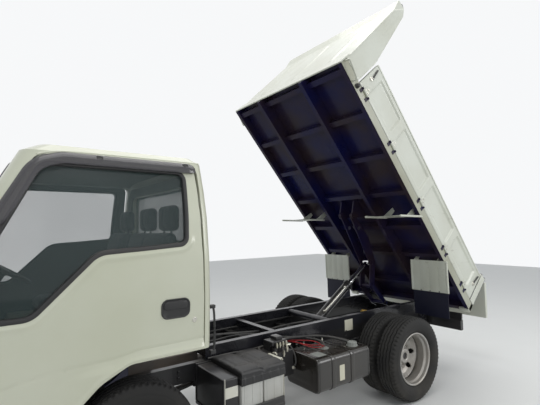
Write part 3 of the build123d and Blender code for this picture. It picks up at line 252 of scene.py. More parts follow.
def curveThrough(points, count):
    # uniform cubic B-spline, its end points held by tripling them
    p = np.asarray(points, float)
    p = np.concatenate([p[:1], p[:1], p, p[-1:], p[-1:]])
    t = np.linspace(0, len(p) - 3 - 1e-9, count)
    i, f = t.astype(int), (t % 1.0)[:, None]
    return ((1 - f) ** 3 * p[i] + (3 * f ** 3 - 6 * f ** 2 + 4) * p[i + 1]
            + (-3 * f ** 3 + 3 * f ** 2 + 3 * f + 1) * p[i + 2] + f ** 3 * p[i + 3]) / 6.0


def carried(path, profile, side=(0, 0, 1)):
    # profile (n by 2) stood across a path (m by 3), its first axis along side, made square to the path
    tangent = np.gradient(path, axis=0)
    tangent /= np.linalg.norm(tangent, axis=1, keepdims=True)
    a = np.asarray(side, float) - tangent * (tangent @ np.asarray(side, float))[:, None]
    a /= np.linalg.norm(a, axis=1, keepdims=True)
    b = np.cross(tangent, a)
    return path[:, None] + profile[None, :, :1] * a[:, None] + profile[None, :, 1:] * b[:, None]


def closedEnds(surface):
    # a row of the end loop's own middle at each end shuts a tube
    first = np.broadcast_to(surface[0].mean(0), surface[:1].shape)
    last = np.broadcast_to(surface[-1].mean(0), surface[:1].shape)
    return np.concatenate([first, surface, last])


def pipeGrid(points, radius, count=40, around=12, side=(0, 0, 1)):
    return closedEnds(carried(curveThrough(points, count), circle(around, radius), side))


def latheGrid(profile, centre, axis="y", steps=48):
    # profile holds (along, out) pairs, turned a full circle about the axis through centre
    t = np.linspace(0, 2 * math.pi, steps, endpoint=False)
    along, out = np.asarray(profile, float).T
    c, s = np.cos(t)[:, None] * out[None], np.sin(t)[:, None] * out[None]
    a = np.broadcast_to(along[None], c.shape)
    order = {"x": (a, c, s), "y": (c, a, s), "z": (c, s, a)}[axis]
    return np.stack(order, -1) + np.asarray(centre, float)


def blockGrid(low, high, radius, along="z", rounds=4, endRadius=None):
    # box with rounded edges: a rounded rectangle stacked along one axis, each end a quarter circle inwards
    k = "xyz".index(along)
    i, j = [n for n in range(3) if n != k]
    low, high = np.asarray(low, float), np.asarray(high, float)
    mid, half = (low + high) / 2, (high - low) / 2
    radius = min(radius, 0.96 * half[i], 0.96 * half[j])
    endR = min(radius if endRadius is None else endRadius, 0.9 * half.min())
    turn = np.linspace(0, math.pi / 2, rounds + 1)
    inset = endR * (1 - np.sin(turn))
    level = -half[k] + endR * (1 - np.cos(turn))
    insets = np.concatenate([inset, inset[::-1]])
    levels = np.concatenate([level, -level[::-1]])
    loops = []
    for d, h in zip(insets, levels):
        a, b = half[i] - d, half[j] - d
        r = max(min(radius - d * 0.6, a, b), 1e-4)
        loop = roundedPath([(a, b), (-a, b), (-a, -b), (a, -b)], r, rounds + 2)
        row = np.zeros((len(loop), 3))
        row[:, i], row[:, j], row[:, k] = loop[:, 0], loop[:, 1], h
        loops.append(row + mid)
    return closedEnds(np.stack(loops))


def spot(reach, y, z):
    # a point given in millimetres ahead of the rear axle
    reach, y, z = np.broadcast_arrays(*[np.asarray(v, float) for v in (reach, y, z)])
    return np.stack([ahead(reach), y / 1000.0, z / 1000.0], -1)


def brick(low, high, radius, along="x", endRadius=None, rounds=3):
    # rounded block between two corners given in millimetres ahead of the rear axle
    ends = None if endRadius is None else endRadius / 1000.0
    return blockGrid(spot(*low), spot(*high), radius / 1000.0, along, rounds, ends)


def plumbing(points, radius, count=60, around=10, side=(0, 0, 1)):
    return pipeGrid(np.stack([spot(*p) for p in points]), radius / 1000.0, count, around, side)


def turned(profile, centre, axis="y", steps=48):
    # a lathed shape with its rows along the axis, shut at both ends by points on the axis
    return np.swapaxes(latheGrid(profile, centre, axis, steps), 0, 1)


def standing(profile, reach, y, steps=36):
    # profile (height, out) in millimetres turned about an upright line
    return turned(np.asarray(profile, float) / 1000.0, spot(reach, y, 0), "z", steps)


def raised(loop, levels, place):
    # a flat loop scaled and lifted level by level: levels holds (scale, height) pairs
    return np.stack([place(loop * scale, height) for scale, height in levels])


def plateOn(loop, thick, place):
    # thin plate: its outline at both faces, each closed at the outline's middle
    mid = loop.mean(0)
    levels = ((0, 0), (1, 0), (1, thick), (0, thick))
    return raised(loop - mid, levels, lambda p, height: place(p + mid, height))


def beading(loop, section, place):
    # section (out, up) carried round a closed loop, out being away from the loop's middle
    step = np.roll(loop, -1, 0) - np.roll(loop, 1, 0)
    normal = np.stack([step[:, 1], -step[:, 0]], -1) / np.linalg.norm(step, axis=1, keepdims=True)
    if ((loop - loop.mean(0)) * normal).sum() < 0:
        normal = -normal
    return np.stack([place(loop + normal * out, up) for out, up in section])


def cutByRays(outer, inner, middle):
    # where the rays from middle to the outer loop's points cross the inner loop
    m = np.array(middle)
    a = np.unwrap(np.arctan2(*(outer - m).T[::-1]))
    b = np.arctan2(*(inner - m).T[::-1])
    order = np.argsort(b)
    radius = np.interp((a + math.pi) % (2 * math.pi) - math.pi, b[order],
                       np.linalg.norm(inner - m, axis=1)[order], period=2 * math.pi)
    return m + np.stack([np.cos(a), np.sin(a)], -1) * radius[:, None]


def nearest(points, loop):
    # each point's distance to the closest point of a loop
    return np.sqrt(((points[:, None] - loop[None]) ** 2).sum(-1).min(1))


def rideWith(piece, body, slot, *instead):
    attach(piece, body)
    if instead:
        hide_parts(*instead)
    return piece


# shader node groups, each built once

def newGroup(name, inputs, outputs):
    tree = bpy.data.node_groups.new(name, "ShaderNodeTree")
    kinds = {"v": "NodeSocketVector", "f": "NodeSocketFloat", "c": "NodeSocketColor"}
    for label, kind, value in inputs:
        socket = tree.interface.new_socket(label, in_out="INPUT", socket_type=kinds[kind])
        if value is not None:
            socket.default_value = value
    for label, kind in outputs:
        tree.interface.new_socket(label, in_out="OUTPUT", socket_type=kinds[kind])
    return tree, tree.nodes.new("NodeGroupInput"), tree.nodes.new("NodeGroupOutput")


def wire(tree, kind, links, **settings):
    # one node: settings starting with in_ fill a socket, the others are the node's own
    node = tree.nodes.new(kind)
    for key, value in settings.items():
        if not key.startswith("in_"):
            setattr(node, key, value)
    for key, value in settings.items():
        if key.startswith("in_"):
            label = key[3:]
            node.inputs[int(label) if label.isdigit() else label].default_value = value
    for label, source in links.items():
        tree.links.new(source, node.inputs[int(label) if label.isdigit() else label])
    return node


def maths(tree, operation, *values, clamp=False):
    # one sum or product; each value is a number or another node's output
    links = {str(k): v for k, v in enumerate(values) if not isinstance(v, float)}
    numbers = {f"in_{k}": v for k, v in enumerate(values) if isinstance(v, float)}
    return wire(tree, "ShaderNodeMath", links, operation=operation, use_clamp=clamp, **numbers).outputs[0]


def ranged(tree, value, start, end, low=0.0, high=1.0):
    # maps start..end to low..high, held at both ends
    return wire(tree, "ShaderNodeMapRange", {"Value": value}, **{
        "in_From Min": start, "in_From Max": end, "in_To Min": low, "in_To Max": high}).outputs[0]


def grainGroup():
    # fine height from two noises, and a slow cloud for colour
    tree, i, o = newGroup("fineGrain", [("Position", "v", None), ("Scale", "f", 300.0), ("Detail", "f", 4.0)],
                          [("Height", "f"), ("Cloud", "f")])
    fine = wire(tree, "ShaderNodeTexNoise", {"Vector": i.outputs["Position"], "Scale": i.outputs["Scale"],
                                             "Detail": i.outputs["Detail"]}, in_Roughness=0.6)
    slow = wire(tree, "ShaderNodeTexNoise", {"Vector": i.outputs["Position"]}, in_Scale=2.3, in_Detail=5.0)
    tree.links.new(fine.outputs["Fac"], o.inputs["Height"])
    tree.links.new(slow.outputs["Fac"], o.inputs["Cloud"])
    return tree


def dustGroup():
    # dust lies where the surface faces up, in patches, and road film near the floor; on the subframe the same
    # mask paints a highlight on the upper faces
    tree, i, o = newGroup("roadDustAndHighlight", [("Position", "v", None), ("Normal", "v", None), ("Top", "f", 0.4),
                                       ("Film", "f", 0.3), ("FilmHeight", "f", 0.7)], [("Mask", "f")])
    up = wire(tree, "ShaderNodeSeparateXYZ", {"Vector": i.outputs["Normal"]})
    place = wire(tree, "ShaderNodeSeparateXYZ", {"Vector": i.outputs["Position"]})
    patch = wire(tree, "ShaderNodeTexNoise", {"Vector": i.outputs["Position"]}, in_Scale=7.0, in_Detail=6.0)
    ramp = ranged(tree, patch.outputs["Fac"], 0.38, 0.66)
    top = maths(tree, "MULTIPLY", ranged(tree, up.outputs["Z"], 0.3, 0.95), i.outputs["Top"])
    low = maths(tree, "DIVIDE", place.outputs["Z"], i.outputs["FilmHeight"])
    film = maths(tree, "MULTIPLY", ranged(tree, low, 1.0, 0.1), i.outputs["Film"])
    mask = maths(tree, "MULTIPLY", maths(tree, "ADD", top, film), ramp, clamp=True)
    tree.links.new(mask, o.inputs["Mask"])
    return tree


def scuffGroup():
    # thin scratches: stretched noise cut at a narrow band, broken up by a wide one
    tree, i, o = newGroup("scuffs", [("Position", "v", None), ("Scale", "f", 30.0), ("Amount", "f", 0.3)],
                          [("Mask", "f")])
    long = wire(tree, "ShaderNodeMapping", {"Vector": i.outputs["Position"]}, in_Scale=(0.25, 1.0, 1.6),
                in_Rotation=(0.3, 0.7, 0.2))
    lines = wire(tree, "ShaderNodeTexNoise", {"Vector": long.outputs[0], "Scale": i.outputs["Scale"]},
                 in_Detail=8.0)
    area = wire(tree, "ShaderNodeTexNoise", {"Vector": i.outputs["Position"]}, in_Scale=3.1, in_Detail=3.0)
    part = maths(tree, "MULTIPLY", ranged(tree, lines.outputs["Fac"], 0.60, 0.68),
                 ranged(tree, area.outputs["Fac"], 0.5, 0.7))
    tree.links.new(maths(tree, "MULTIPLY", part, i.outputs["Amount"], clamp=True), o.inputs["Mask"])
    return tree


def weaveGroup():
    # over and under threads from two crossed sine waves
    tree, i, o = newGroup("clothWeave", [("Position", "v", None), ("Threads", "f", 900.0)], [("Height", "f")])
    scaled = wire(tree, "ShaderNodeVectorMath", {"0": i.outputs["Position"]}, operation="SCALE")
    tree.links.new(i.outputs["Threads"], scaled.inputs["Scale"])
    parts = wire(tree, "ShaderNodeSeparateXYZ", {"Vector": scaled.outputs[0]})
    one = maths(tree, "SINE", maths(tree, "ADD", parts.outputs["X"], parts.outputs["Z"]))
    cloth = maths(tree, "MULTIPLY", one, maths(tree, "SINE", parts.outputs["Y"]))
    tree.links.new(maths(tree, "MULTIPLY_ADD", cloth, 0.5, 0.5), o.inputs["Height"])
    return tree


groups = {"grain": grainGroup(), "dust": dustGroup(), "scuffs": scuffGroup(), "weave": weaveGroup()}


def addGroup(tree, key, links, **settings):
    node = wire(tree, "ShaderNodeGroup", {}, node_tree=groups[key])
    for label, source in links.items():
        tree.links.new(source, node.inputs[label])
    for key2, value in settings.items():
        node.inputs[key2].default_value = value
    return node


def blendColour(tree, fac, a, b):
    node = wire(tree, "ShaderNodeMix", {}, data_type="RGBA")
    for source, socket in ((fac, node.inputs[0]), (a, node.inputs[6]), (b, node.inputs[7])):
        if isinstance(source, (int, float)):
            socket.default_value = source
        elif isinstance(source, tuple):
            socket.default_value = (*source, 1) if len(source) == 3 else source
        else:
            tree.links.new(source, socket)
    return node.outputs[2]


# each finish by columns, where tone is the darker colour and wander how far rough strays, and then what only
# some have: coat, metal, shine, dust on top (a painted highlight on the subframe's upper faces), film low
# down to filmHeight metres, scuffs and their bare colour

finishColumns = ("colour", "tone", "rough", "wander", "grain", "bump")
finishes = {
    "creamPaint": ((0.66, 0.67, 0.54), (0.62, 0.63, 0.49), 0.30, 0.10, 260.0, 0.04,
                   dict(coat=0.55, film=0.30, filmHeight=0.80, dust=(0.42, 0.38, 0.30))),
    "bedPaint": ((0.68, 0.70, 0.62), (0.60, 0.61, 0.52), 0.36, 0.16, 180.0, 0.06,
                 dict(coat=0.35, top=0.25, dust=(0.46, 0.42, 0.34), scuffs=0.55, bare=(0.40, 0.37, 0.32))),
    # darker copy of bedPaint for the side rail strips: painted shade under the gates' overhang
    "railPaint": ((0.46, 0.47, 0.38), (0.34, 0.34, 0.25), 0.36, 0.16, 180.0, 0.06,
                  dict(coat=0.35, top=0.25, dust=(0.46, 0.42, 0.34), scuffs=0.55, bare=(0.40, 0.37, 0.32))),
    # the brownish tone, blended in by the slow cloud, is painted reflection on the glossy navy underside
    "bedUnder": ((0.008, 0.009, 0.062), (0.030, 0.019, 0.026), 0.30, 0.16, 90.0, 0.05,
                 dict(coat=0.08, shine=0.18, top=0.10, dust=(0.10, 0.08, 0.07))),
    "chassisBlack": ((0.014, 0.014, 0.016), (0.026, 0.025, 0.026), 0.30, 0.28, 140.0, 0.10,
                     dict(coat=0.25, shine=0.35, top=0.30, film=0.16, filmHeight=0.6,
                          dust=(0.15, 0.135, 0.12))),
    "tankPaint": ((0.012, 0.011, 0.010), (0.022, 0.018, 0.014), 0.22, 0.16, 160.0, 0.06,
                  dict(coat=0.45, top=0.22, film=0.10, filmHeight=0.5, dust=(0.11, 0.095, 0.08))),
    # upper faces lightened to pale grey by the top mask: a painted highlight
    "subframePaint": ((0.010, 0.010, 0.013), (0.022, 0.022, 0.028), 0.28, 0.22, 120.0, 0.08,
                      dict(coat=0.3, shine=0.35, top=0.85, dust=(0.27, 0.26, 0.27))),
    "silverPaint": ((0.50, 0.49, 0.47), (0.40, 0.38, 0.35), 0.34, 0.20, 420.0, 0.08,
                    dict(metal=0.55, film=0.35, filmHeight=0.8, dust=(0.25, 0.21, 0.16), scuffs=0.3,
                         bare=(0.22, 0.19, 0.16))),
    "castIron": ((0.12, 0.115, 0.11), (0.20, 0.16, 0.13), 0.65, 0.20, 160.0, 0.35,
                 dict(metal=0.5, film=0.2, dust=(0.22, 0.19, 0.16))),
    "pipeSteel": ((0.42, 0.39, 0.35), (0.28, 0.20, 0.14), 0.45, 0.25, 120.0, 0.15,
                  dict(metal=0.8, film=0.3, dust=(0.24, 0.18, 0.12))),
    "zincPlate": ((0.66, 0.65, 0.60), (0.52, 0.50, 0.42), 0.28, 0.2, 220.0, 0.08, dict(metal=0.9)),
    "brassFitting": ((0.72, 0.50, 0.16), (0.50, 0.33, 0.10), 0.35, 0.2, 220.0, 0.1, dict(metal=0.9)),
    "rodChrome": ((0.78, 0.79, 0.80), (0.74, 0.74, 0.75), 0.08, 0.05, 600.0, 0.01, dict(metal=1.0)),
    "blackPlastic": ((0.020, 0.020, 0.021), (0.032, 0.031, 0.031), 0.48, 0.16, 700.0, 0.20,
                     dict(top=0.35, dust=(0.17, 0.16, 0.15))),
    "darkTrim": ((0.050, 0.051, 0.053), (0.070, 0.070, 0.070), 0.50, 0.12, 900.0, 0.22,
                 dict(film=0.3, dust=(0.20, 0.18, 0.15))),
    "greyTrim": ((0.30, 0.31, 0.29), (0.25, 0.26, 0.24), 0.62, 0.1, 900.0, 0.2, dict()),
    "batteryCase": ((0.58, 0.58, 0.55), (0.48, 0.47, 0.43), 0.5, 0.15, 500.0, 0.12,
                    dict(film=0.4, filmHeight=0.7, dust=(0.25, 0.22, 0.18))),
    "blankLabel": ((0.80, 0.79, 0.72), (0.66, 0.63, 0.50), 0.45, 0.15, 60.0, 0.04, dict()),
    "redRubber": ((0.36, 0.012, 0.015), (0.22, 0.01, 0.01), 0.42, 0.1, 500.0, 0.1, dict()),
    "hoseRubber": ((0.022, 0.022, 0.023), (0.04, 0.038, 0.036), 0.5, 0.15, 800.0, 0.25,
                   dict(top=0.5, dust=(0.2, 0.19, 0.17))),
    "flapRubber": ((0.008, 0.009, 0.024), (0.016, 0.016, 0.030), 0.5, 0.12, 500.0, 0.2,
                   dict(shine=0.3, film=0.12, dust=(0.12, 0.11, 0.10))),
    "tyreRubber": ((0.008, 0.008, 0.008), (0.018, 0.017, 0.016), 0.78, 0.15, 420.0, 0.25,
                   dict(film=0.55, filmHeight=0.72, dust=(0.085, 0.078, 0.068))),
}


def makeFinish(name, f):
    material = bpy.data.materials.new(name)
    material.use_nodes = True
    tree = material.node_tree
    tree.nodes.clear()
    out = tree.nodes.new("ShaderNodeOutputMaterial")
    shader = tree.nodes.new("ShaderNodeBsdfPrincipled")
    tree.links.new(shader.outputs[0], out.inputs["Surface"])
    place = tree.nodes.new("ShaderNodeTexCoord").outputs["Object"]
    facing = tree.nodes.new("ShaderNodeNewGeometry").outputs["Normal"]
    grain = addGroup(tree, "grain", {"Position": place}, Scale=f["grain"])
    # the slow cloud blends colour with tone; on the bed's underside this paints reflection
    cloud = ranged(tree, grain.outputs["Cloud"], 0.35, 0.65)
    colour = blendColour(tree, cloud, f["colour"], f["tone"])
    rough = maths(tree, "MULTIPLY_ADD", grain.outputs["Cloud"], f["wander"], f["rough"] - f["wander"] / 2)
    if f.get("scuffs"):
        scuffs = addGroup(tree, "scuffs", {"Position": place}, Amount=f["scuffs"])
        colour = blendColour(tree, scuffs.outputs["Mask"], colour, f["bare"])
        rough = maths(tree, "MULTIPLY_ADD", scuffs.outputs["Mask"], 0.3, rough)
    # dust on faces up and low down; on the subframe the same mix is a painted highlight
    if f.get("dust"):
        dust = addGroup(tree, "dust", {"Position": place, "Normal": facing}, Top=f.get("top", 0.0),
                        Film=f.get("film", 0.0), FilmHeight=f.get("filmHeight", 0.7))
        colour = blendColour(tree, dust.outputs["Mask"], colour, f["dust"])
        rough = maths(tree, "MULTIPLY_ADD", dust.outputs["Mask"], 0.45, rough, clamp=True)
    bump = wire(tree, "ShaderNodeBump", {"Height": grain.outputs["Height"]}, in_Strength=f["bump"],
                in_Distance=0.002)
    tree.links.new(colour, shader.inputs["Base Color"])
    tree.links.new(rough, shader.inputs["Roughness"])
    tree.links.new(bump.outputs[0], shader.inputs["Normal"])
    for label, value in (("Metallic", f.get("metal", 0.0)), ("Specular IOR Level", f.get("shine", 0.5)),
                         ("Coat Weight", f.get("coat", 0.0)), ("Coat Roughness", 0.08)):
        shader.inputs[label].default_value = value
    return material


materials = {name: makeFinish(name, dict(zip(finishColumns, row), **row[-1]))
             for name, row in finishes.items()}


def simpleShader(name, colour, rough, **sockets):
    material = bpy.data.materials.new(name)
    material.use_nodes = True
    shader = material.node_tree.nodes["Principled BSDF"]
    shader.inputs["Base Color"].default_value = (*colour, 1)
    shader.inputs["Roughness"].default_value = rough
    for label, value in sockets.items():
        shader.inputs[label.replace("_", " ")].default_value = value
    return material, material.node_tree, shader


def glassFinish(name, colour, clear, edgeOn, rough=0.02):
    # see-through from the front, more of a mirror edge-on, with a faint film of dust
    material, tree, shader = simpleShader(name, colour, rough, Specular_IOR_Level=0.8)
    layer = wire(tree, "ShaderNodeLayerWeight", {}, in_Blend=0.35)
    place = tree.nodes.new("ShaderNodeTexCoord").outputs["Object"]
    grain = addGroup(tree, "grain", {"Position": place}, Scale=40.0)
    film = maths(tree, "MULTIPLY_ADD", grain.outputs["Cloud"], 0.10, clear - 0.05)
    alpha = wire(tree, "ShaderNodeMapRange", {"Value": layer.outputs["Fresnel"], "To Min": film},
                 **{"in_To Max": edgeOn})
    tree.links.new(alpha.outputs[0], shader.inputs["Alpha"])
    return material


def clothFinish():
    material, tree, shader = simpleShader("seatCloth", (0.06, 0.065, 0.072), 0.85, Sheen_Weight=0.3)
    place = tree.nodes.new("ShaderNodeTexCoord").outputs["Object"]
    weave = addGroup(tree, "weave", {"Position": place}, Threads=1700.0)
    grain = addGroup(tree, "grain", {"Position": place}, Scale=90.0)
    mix = maths(tree, "MULTIPLY", weave.outputs[0], grain.outputs["Height"])
    colour = blendColour(tree, mix, (0.035, 0.038, 0.043), (0.10, 0.108, 0.118))
    bump = wire(tree, "ShaderNodeBump", {"Height": mix}, in_Strength=0.5, in_Distance=0.001)
    tree.links.new(colour, shader.inputs["Base Color"])
    tree.links.new(bump.outputs[0], shader.inputs["Normal"])
    return material


def lensFinish(name, colour, clear):
    # moulded lens: upright flutes as bump, colour a little deeper in cloudy patches
    material, tree, shader = simpleShader(name, colour, 0.12, Specular_IOR_Level=0.6)
    place = tree.nodes.new("ShaderNodeTexCoord").outputs["Object"]
    wave = wire(tree, "ShaderNodeTexWave", {"Vector": place}, in_Scale=24.0, bands_direction="Y")
    grain = addGroup(tree, "grain", {"Position": place}, Scale=60.0)
    shade = blendColour(tree, grain.outputs["Cloud"], colour, tuple(0.75 * c for c in colour))
    bump = wire(tree, "ShaderNodeBump", {"Height": wave.outputs["Fac"]}, in_Strength=0.3, in_Distance=0.003)
    tree.links.new(shade, shader.inputs["Base Color"])
    tree.links.new(bump.outputs[0], shader.inputs["Normal"])
    shader.inputs["Alpha"].default_value = clear
    return material


materials["windowGlass"] = glassFinish("windowGlass", (0.09, 0.14, 0.14), 0.20, 0.80)
materials["smokedPlastic"] = glassFinish("smokedPlastic", (0.09, 0.085, 0.095), 0.58, 0.95, 0.16)
materials["seatCloth"] = clothFinish()
materials["clearLens"] = lensFinish("clearLens", (0.62, 0.65, 0.66), 0.75)
materials["redLens"] = lensFinish("redLens", (0.42, 0.012, 0.012), 1.0)
materials["amberLens"] = lensFinish("amberLens", (0.60, 0.20, 0.01), 1.0)

nodeFinish = {
    "chassisBlack": "frame_rails front_axle rear_axle leaf_springs hydraulic_unit rear_bar hoist_barrel",
    "subframePaint": "dump_subframe", "castIron": "powertrain knuckle_left knuckle_right",
    "tankPaint": "fuel_tank", "blackPlastic": "battery_box mirrors steering_wheel", "pipeSteel": "exhaust",
    "redLens": "rear_lamps", "darkTrim": "front_bumper front_panel dashboard", "clearLens": "headlamps",
    "creamPaint": "cab_shell door_left door_right", "seatCloth": "seats", "rodChrome": "hoist_rod",
    "windowGlass": "windscreen rear_window door_glass_left door_glass_right",
    "smokedPlastic": "rain_visor_left rain_visor_right", "bedUnder": "bed_floor lift_arm tension_link",
    "bedPaint": "headboard mudguards side_gate_left side_gate_right tailgate", "flapRubber": "mud_flaps",
    "tyreRubber": "tyre_front_left tyre_front_right tyre_rear_left tyre_rear_right",
    "silverPaint": "rim_front_left rim_front_right rim_rear_left rim_rear_right",
}
for skin, names in nodeFinish.items():
    for name in names.split():
        nodes[name].data.materials.clear()
        nodes[name].data.materials.append(materials[skin])
print("finishes made:", len(materials))


# tyres and rims

wheel = {
    "tyreRadius": 0.357, "frontMid": 0.690, "rearOuter": 0.766, "rearInner": 0.548, "rearDisc": 0.657,
    "frontDisc": 0.720, "pitches": 62, "perPitch": 6, "grooveDepth": 0.0105, "grooveHalf": 0.0042,
    "grooves": (-0.047, -0.0155, 0.0155, 0.047), "zigzag": 0.0032, "crown": 0.0032, "sipe": 0.004,
    "holes": 8, "holeRadius": 0.0235, "holeRing": 0.163, "studs": 6, "studRing": 0.098,
    # the tyre's flank from bead to tread: across, radius and shoulder notch
    "flank": [(0.0595, 0.2256, 0), (0.066, 0.2305, 0), (0.074, 0.236, 0), (0.083, 0.247, 0),
              (0.091, 0.265, 0), (0.0945, 0.285, 0), (0.0938, 0.2995, 0), (0.0946, 0.3005, 0),
              (0.0932, 0.3018, 0), (0.0905, 0.318, 0), (0.0868, 0.332, 0), (0.0838, 0.3425, 0.006),
              (0.0800, 0.3490, 0.008), (0.0700, 0.3530, 0.008), (0.0620, 0.3542, 0)],
}


def treadSurface():
    # radius(across, turn) = crown arc, less a groove depth where a zigzag row lies inside a groove,
    # less a shoulder notch over part of each pitch; rows beside a groove shift by a triangle wave
    w = wheel
    turn = np.arange(w["pitches"] * w["perPitch"]) / w["perPitch"]
    zig = w["zigzag"] * (2 * np.abs(2 * ((turn * 0.5) % 1.0) - 1) - 1)
    rows = []

    def crownAt(across):
        return w["tyreRadius"] - w["crown"] * (across / 0.062) ** 2

    def put(across, radius, shift=0.0, notch=0.0):
        cut = notch * (np.abs((turn + (0.5 if across > 0 else 0.0)) % 1.0 - 0.5) < 0.22)
        rows.append((across + shift * np.ones_like(turn), radius - cut))

    for across, radius, notch in w["flank"]:
        put(-across, radius, notch=notch)
    h, deep = w["grooveHalf"], w["grooveDepth"]
    for k, middle in enumerate(w["grooves"]):
        for off, depth in ((-h - 0.0008, 0.0), (0.0010 - h, deep), (h - 0.0010, deep), (h + 0.0008, 0.0)):
            put(middle + off, crownAt(middle) - depth, zig)
        if k < len(w["grooves"]) - 1:
            rib = (middle + w["grooves"][k + 1]) / 2
            put(rib, crownAt(rib) - w["sipe"] * (np.abs(turn % 1.0 - 0.5) < 0.1))
    for across, radius, notch in w["flank"][::-1]:
        put(across, radius, notch=notch)
    put(0.0595, 0.2180)
    put(-0.0595, 0.2180)
    across = np.stack([r[0] for r in rows])
    radius = np.stack([np.broadcast_to(r[1], turn.shape) for r in rows])
    angle = 2 * math.pi * turn / w["pitches"]
    return np.stack([radius * np.cos(angle), across, radius * np.sin(angle)], -1)


def arraysOf(piece):
    # an object's triangles as arrays, and the object itself taken away again
    work = bmesh.new()
    work.from_mesh(piece.data)
    bmesh.ops.triangulate(work, faces=work.faces)
    points = np.array([v.co[:] for v in work.verts])
    faces = np.array([[v.index for v in f.verts] for f in work.faces])
    work.free()
    bpy.data.objects.remove(piece, do_unlink=True)
    return points, faces


def cutAway(piece, cutter):
    modifier = piece.modifiers.new("cut", "BOOLEAN")
    modifier.operation, modifier.solver, modifier.object = "DIFFERENCE", "EXACT", cutter
    bpy.context.view_layer.update()
    done = bpy.data.meshes.new_from_object(piece.evaluated_get(bpy.context.evaluated_depsgraph_get()))
    piece.modifiers.clear()
    piece.data = done
    bpy.data.objects.remove(cutter, do_unlink=True)


def rimArrays(front):
    w = wheel
    disc = w["frontDisc"] if front else w["rearDisc"]
    middles = [w["frontMid"]] if front else [w["rearInner"], w["rearOuter"]]
    # barrel with its well and rolled lips, across and out in millimetres
    well = [(-70, 225), (-62, 225), (-58, 217.2), (-40, 215), (-30, 203), (20, 203), (36, 215), (58, 217.2),
            (62, 225), (70, 225), (71, 216), (64, 209), (40, 207), (24, 195), (-34, 195), (-44, 207),
            (-64, 209), (-71, 216)]
    well = roundedPath(np.array(well) / 1000.0, 0.004, 4)
    lathes = [latheGrid(well + (c, 0), (0, 0, 0), "y", 96) for c in middles]

    # the dish bends in to its barrel on a front wheel and out to it on a rear one
    bend = (10, -6, -2, -16, 0) if front else (24, 52, 56, 46, 14)
    outs = np.array((14, 7, 4, 8) + bend + (-2, -6, -5, -4), float) + disc * 1000.0
    loop = np.stack([outs, (84, 112, 132, 150, 176, 196, 206, 200, 176, 150, 132, 112, 84)], -1) / 1000.0
    dish = latheGrid(roundedPath(loop, 0.006, 4), (0, 0, 0), "y", 96)
    plate = joinGrids("dish", [dish], ["silverPaint"], wraps=(True, True), sharp=40)
    near, far, r = disc - 0.09, disc + 0.09, w["holeRadius"]
    bore = [(near, 0), (near, r), (far, r), (far, 0)]
    bores = [latheGrid(bore, (w["holeRing"] * math.cos(a), 0, w["holeRing"] * math.sin(a)), "y", 24)
             for a in 2 * math.pi * np.arange(w["holes"]) / w["holes"]]
    cutAway(plate, joinGrids("bores", bores, [], wraps=(True, False)))
    points, faces = arraysOf(plate)
    hubOut = 0.775 if front else 0.732
    hubIn = 0.662 if front else 0.547
    hub = [(hubIn, 0.0305), (hubIn, 0.082), (disc - 0.005, 0.084), (disc - 0.004, 0.116),
           (disc + 0.009, 0.118), (disc + 0.010, 0.086), (hubOut - 0.018, 0.074), (hubOut - 0.012, 0.068),
           (hubOut - 0.002, 0.062), (hubOut, 0.056), (hubOut, 0.040), (hubOut - 0.004, 0.036),
           (hubOut - 0.004, 0.0305)]
    lathes.append(latheGrid(roundedPath(hub, 0.003, 3), (0, 0, 0), "y", 64))
    wraps = [(True, True)] * len(lathes) + [(True, False)] * w["studs"]
    nut = np.array([(0.004, 0), (0.004, 0.0165), (0.019, 0.0165), (0.022, 0.013), (0.022, 0.0085),
                    (0.034, 0.0085), (0.036, 0.007), (0.036, 0)]) + (disc + 0.004, 0)
    for k in range(w["studs"]):  # nuts with their studs
        a = 2 * math.pi * (k + 0.5) / w["studs"]
        lathes.append(latheGrid(nut, (w["studRing"] * math.cos(a), 0, w["studRing"] * math.sin(a)), "y", 18))
    others, otherFaces = arraysOf(joinGrids("barrels", lathes, ["silverPaint"], wraps=wraps))
    return np.concatenate([points, others]), np.concatenate([faces, otherFaces + len(points)])


def addWheels():
    tread = treadSurface()
    shapes = {True: rimArrays(True), False: rimArrays(False)}
    for end, x, middles in (("front", truck["frontAxleX"], [wheel["frontMid"]]),
                            ("rear", truck["rearAxleX"], [wheel["rearInner"], wheel["rearOuter"]])):
        for side, word in ((1, "left"), (-1, "right")):
            centre = np.array([x, 0.0, truck["axleZ"]])
            rings = [tread + centre + (0, side * m, 0) for m in middles]
            body = f"wheel_{end}_{word}"
            big = end.title() + word.title()
            tyre = joinGrids("tyreSkin" + big, rings, ["tyreRubber"], wraps=(True, True), sharp=30)
            rideWith(tyre, body, "tyre_rubber", f"tyre_{end}_{word}")
            points, faces = shapes[end == "front"]
            rim = putMesh("rimSkin" + big, points * (1, side, 1) + centre, faces, ["silverPaint"], sharp=35)
            rideWith(rim, body, "silver_paint", f"rim_{end}_{word}")
    print("wheels made")


addWheels()


# the cab's side as a surface, shared by everything on the doors

cab = {
    "levels": [475, 700, 900, 1120, 1350, 1600, 1760, 1930, 1970, 1985],
    "halves": [790, 805, 818, 825, 819, 791, 752, 696, 651, 516],
}


def halfAt(z):
    # half width of the cab at height z (mm): straight runs, averaged over 36 mm either way so no kink shows
    z = np.asarray(z, float)
    reach = np.linspace(-1, 1, 7) * np.clip(1912.0 - z, 0, 36)[..., None]
    return np.interp(z[..., None] + reach, cab["levels"], cab["halves"]).mean(-1)


def noseAt(z):
    return np.interp(z, [475, 600, 930, 1090, 1930, 1970, 1985], [3445, 3485, 3485, 3395, 2975, 2900, 2700])


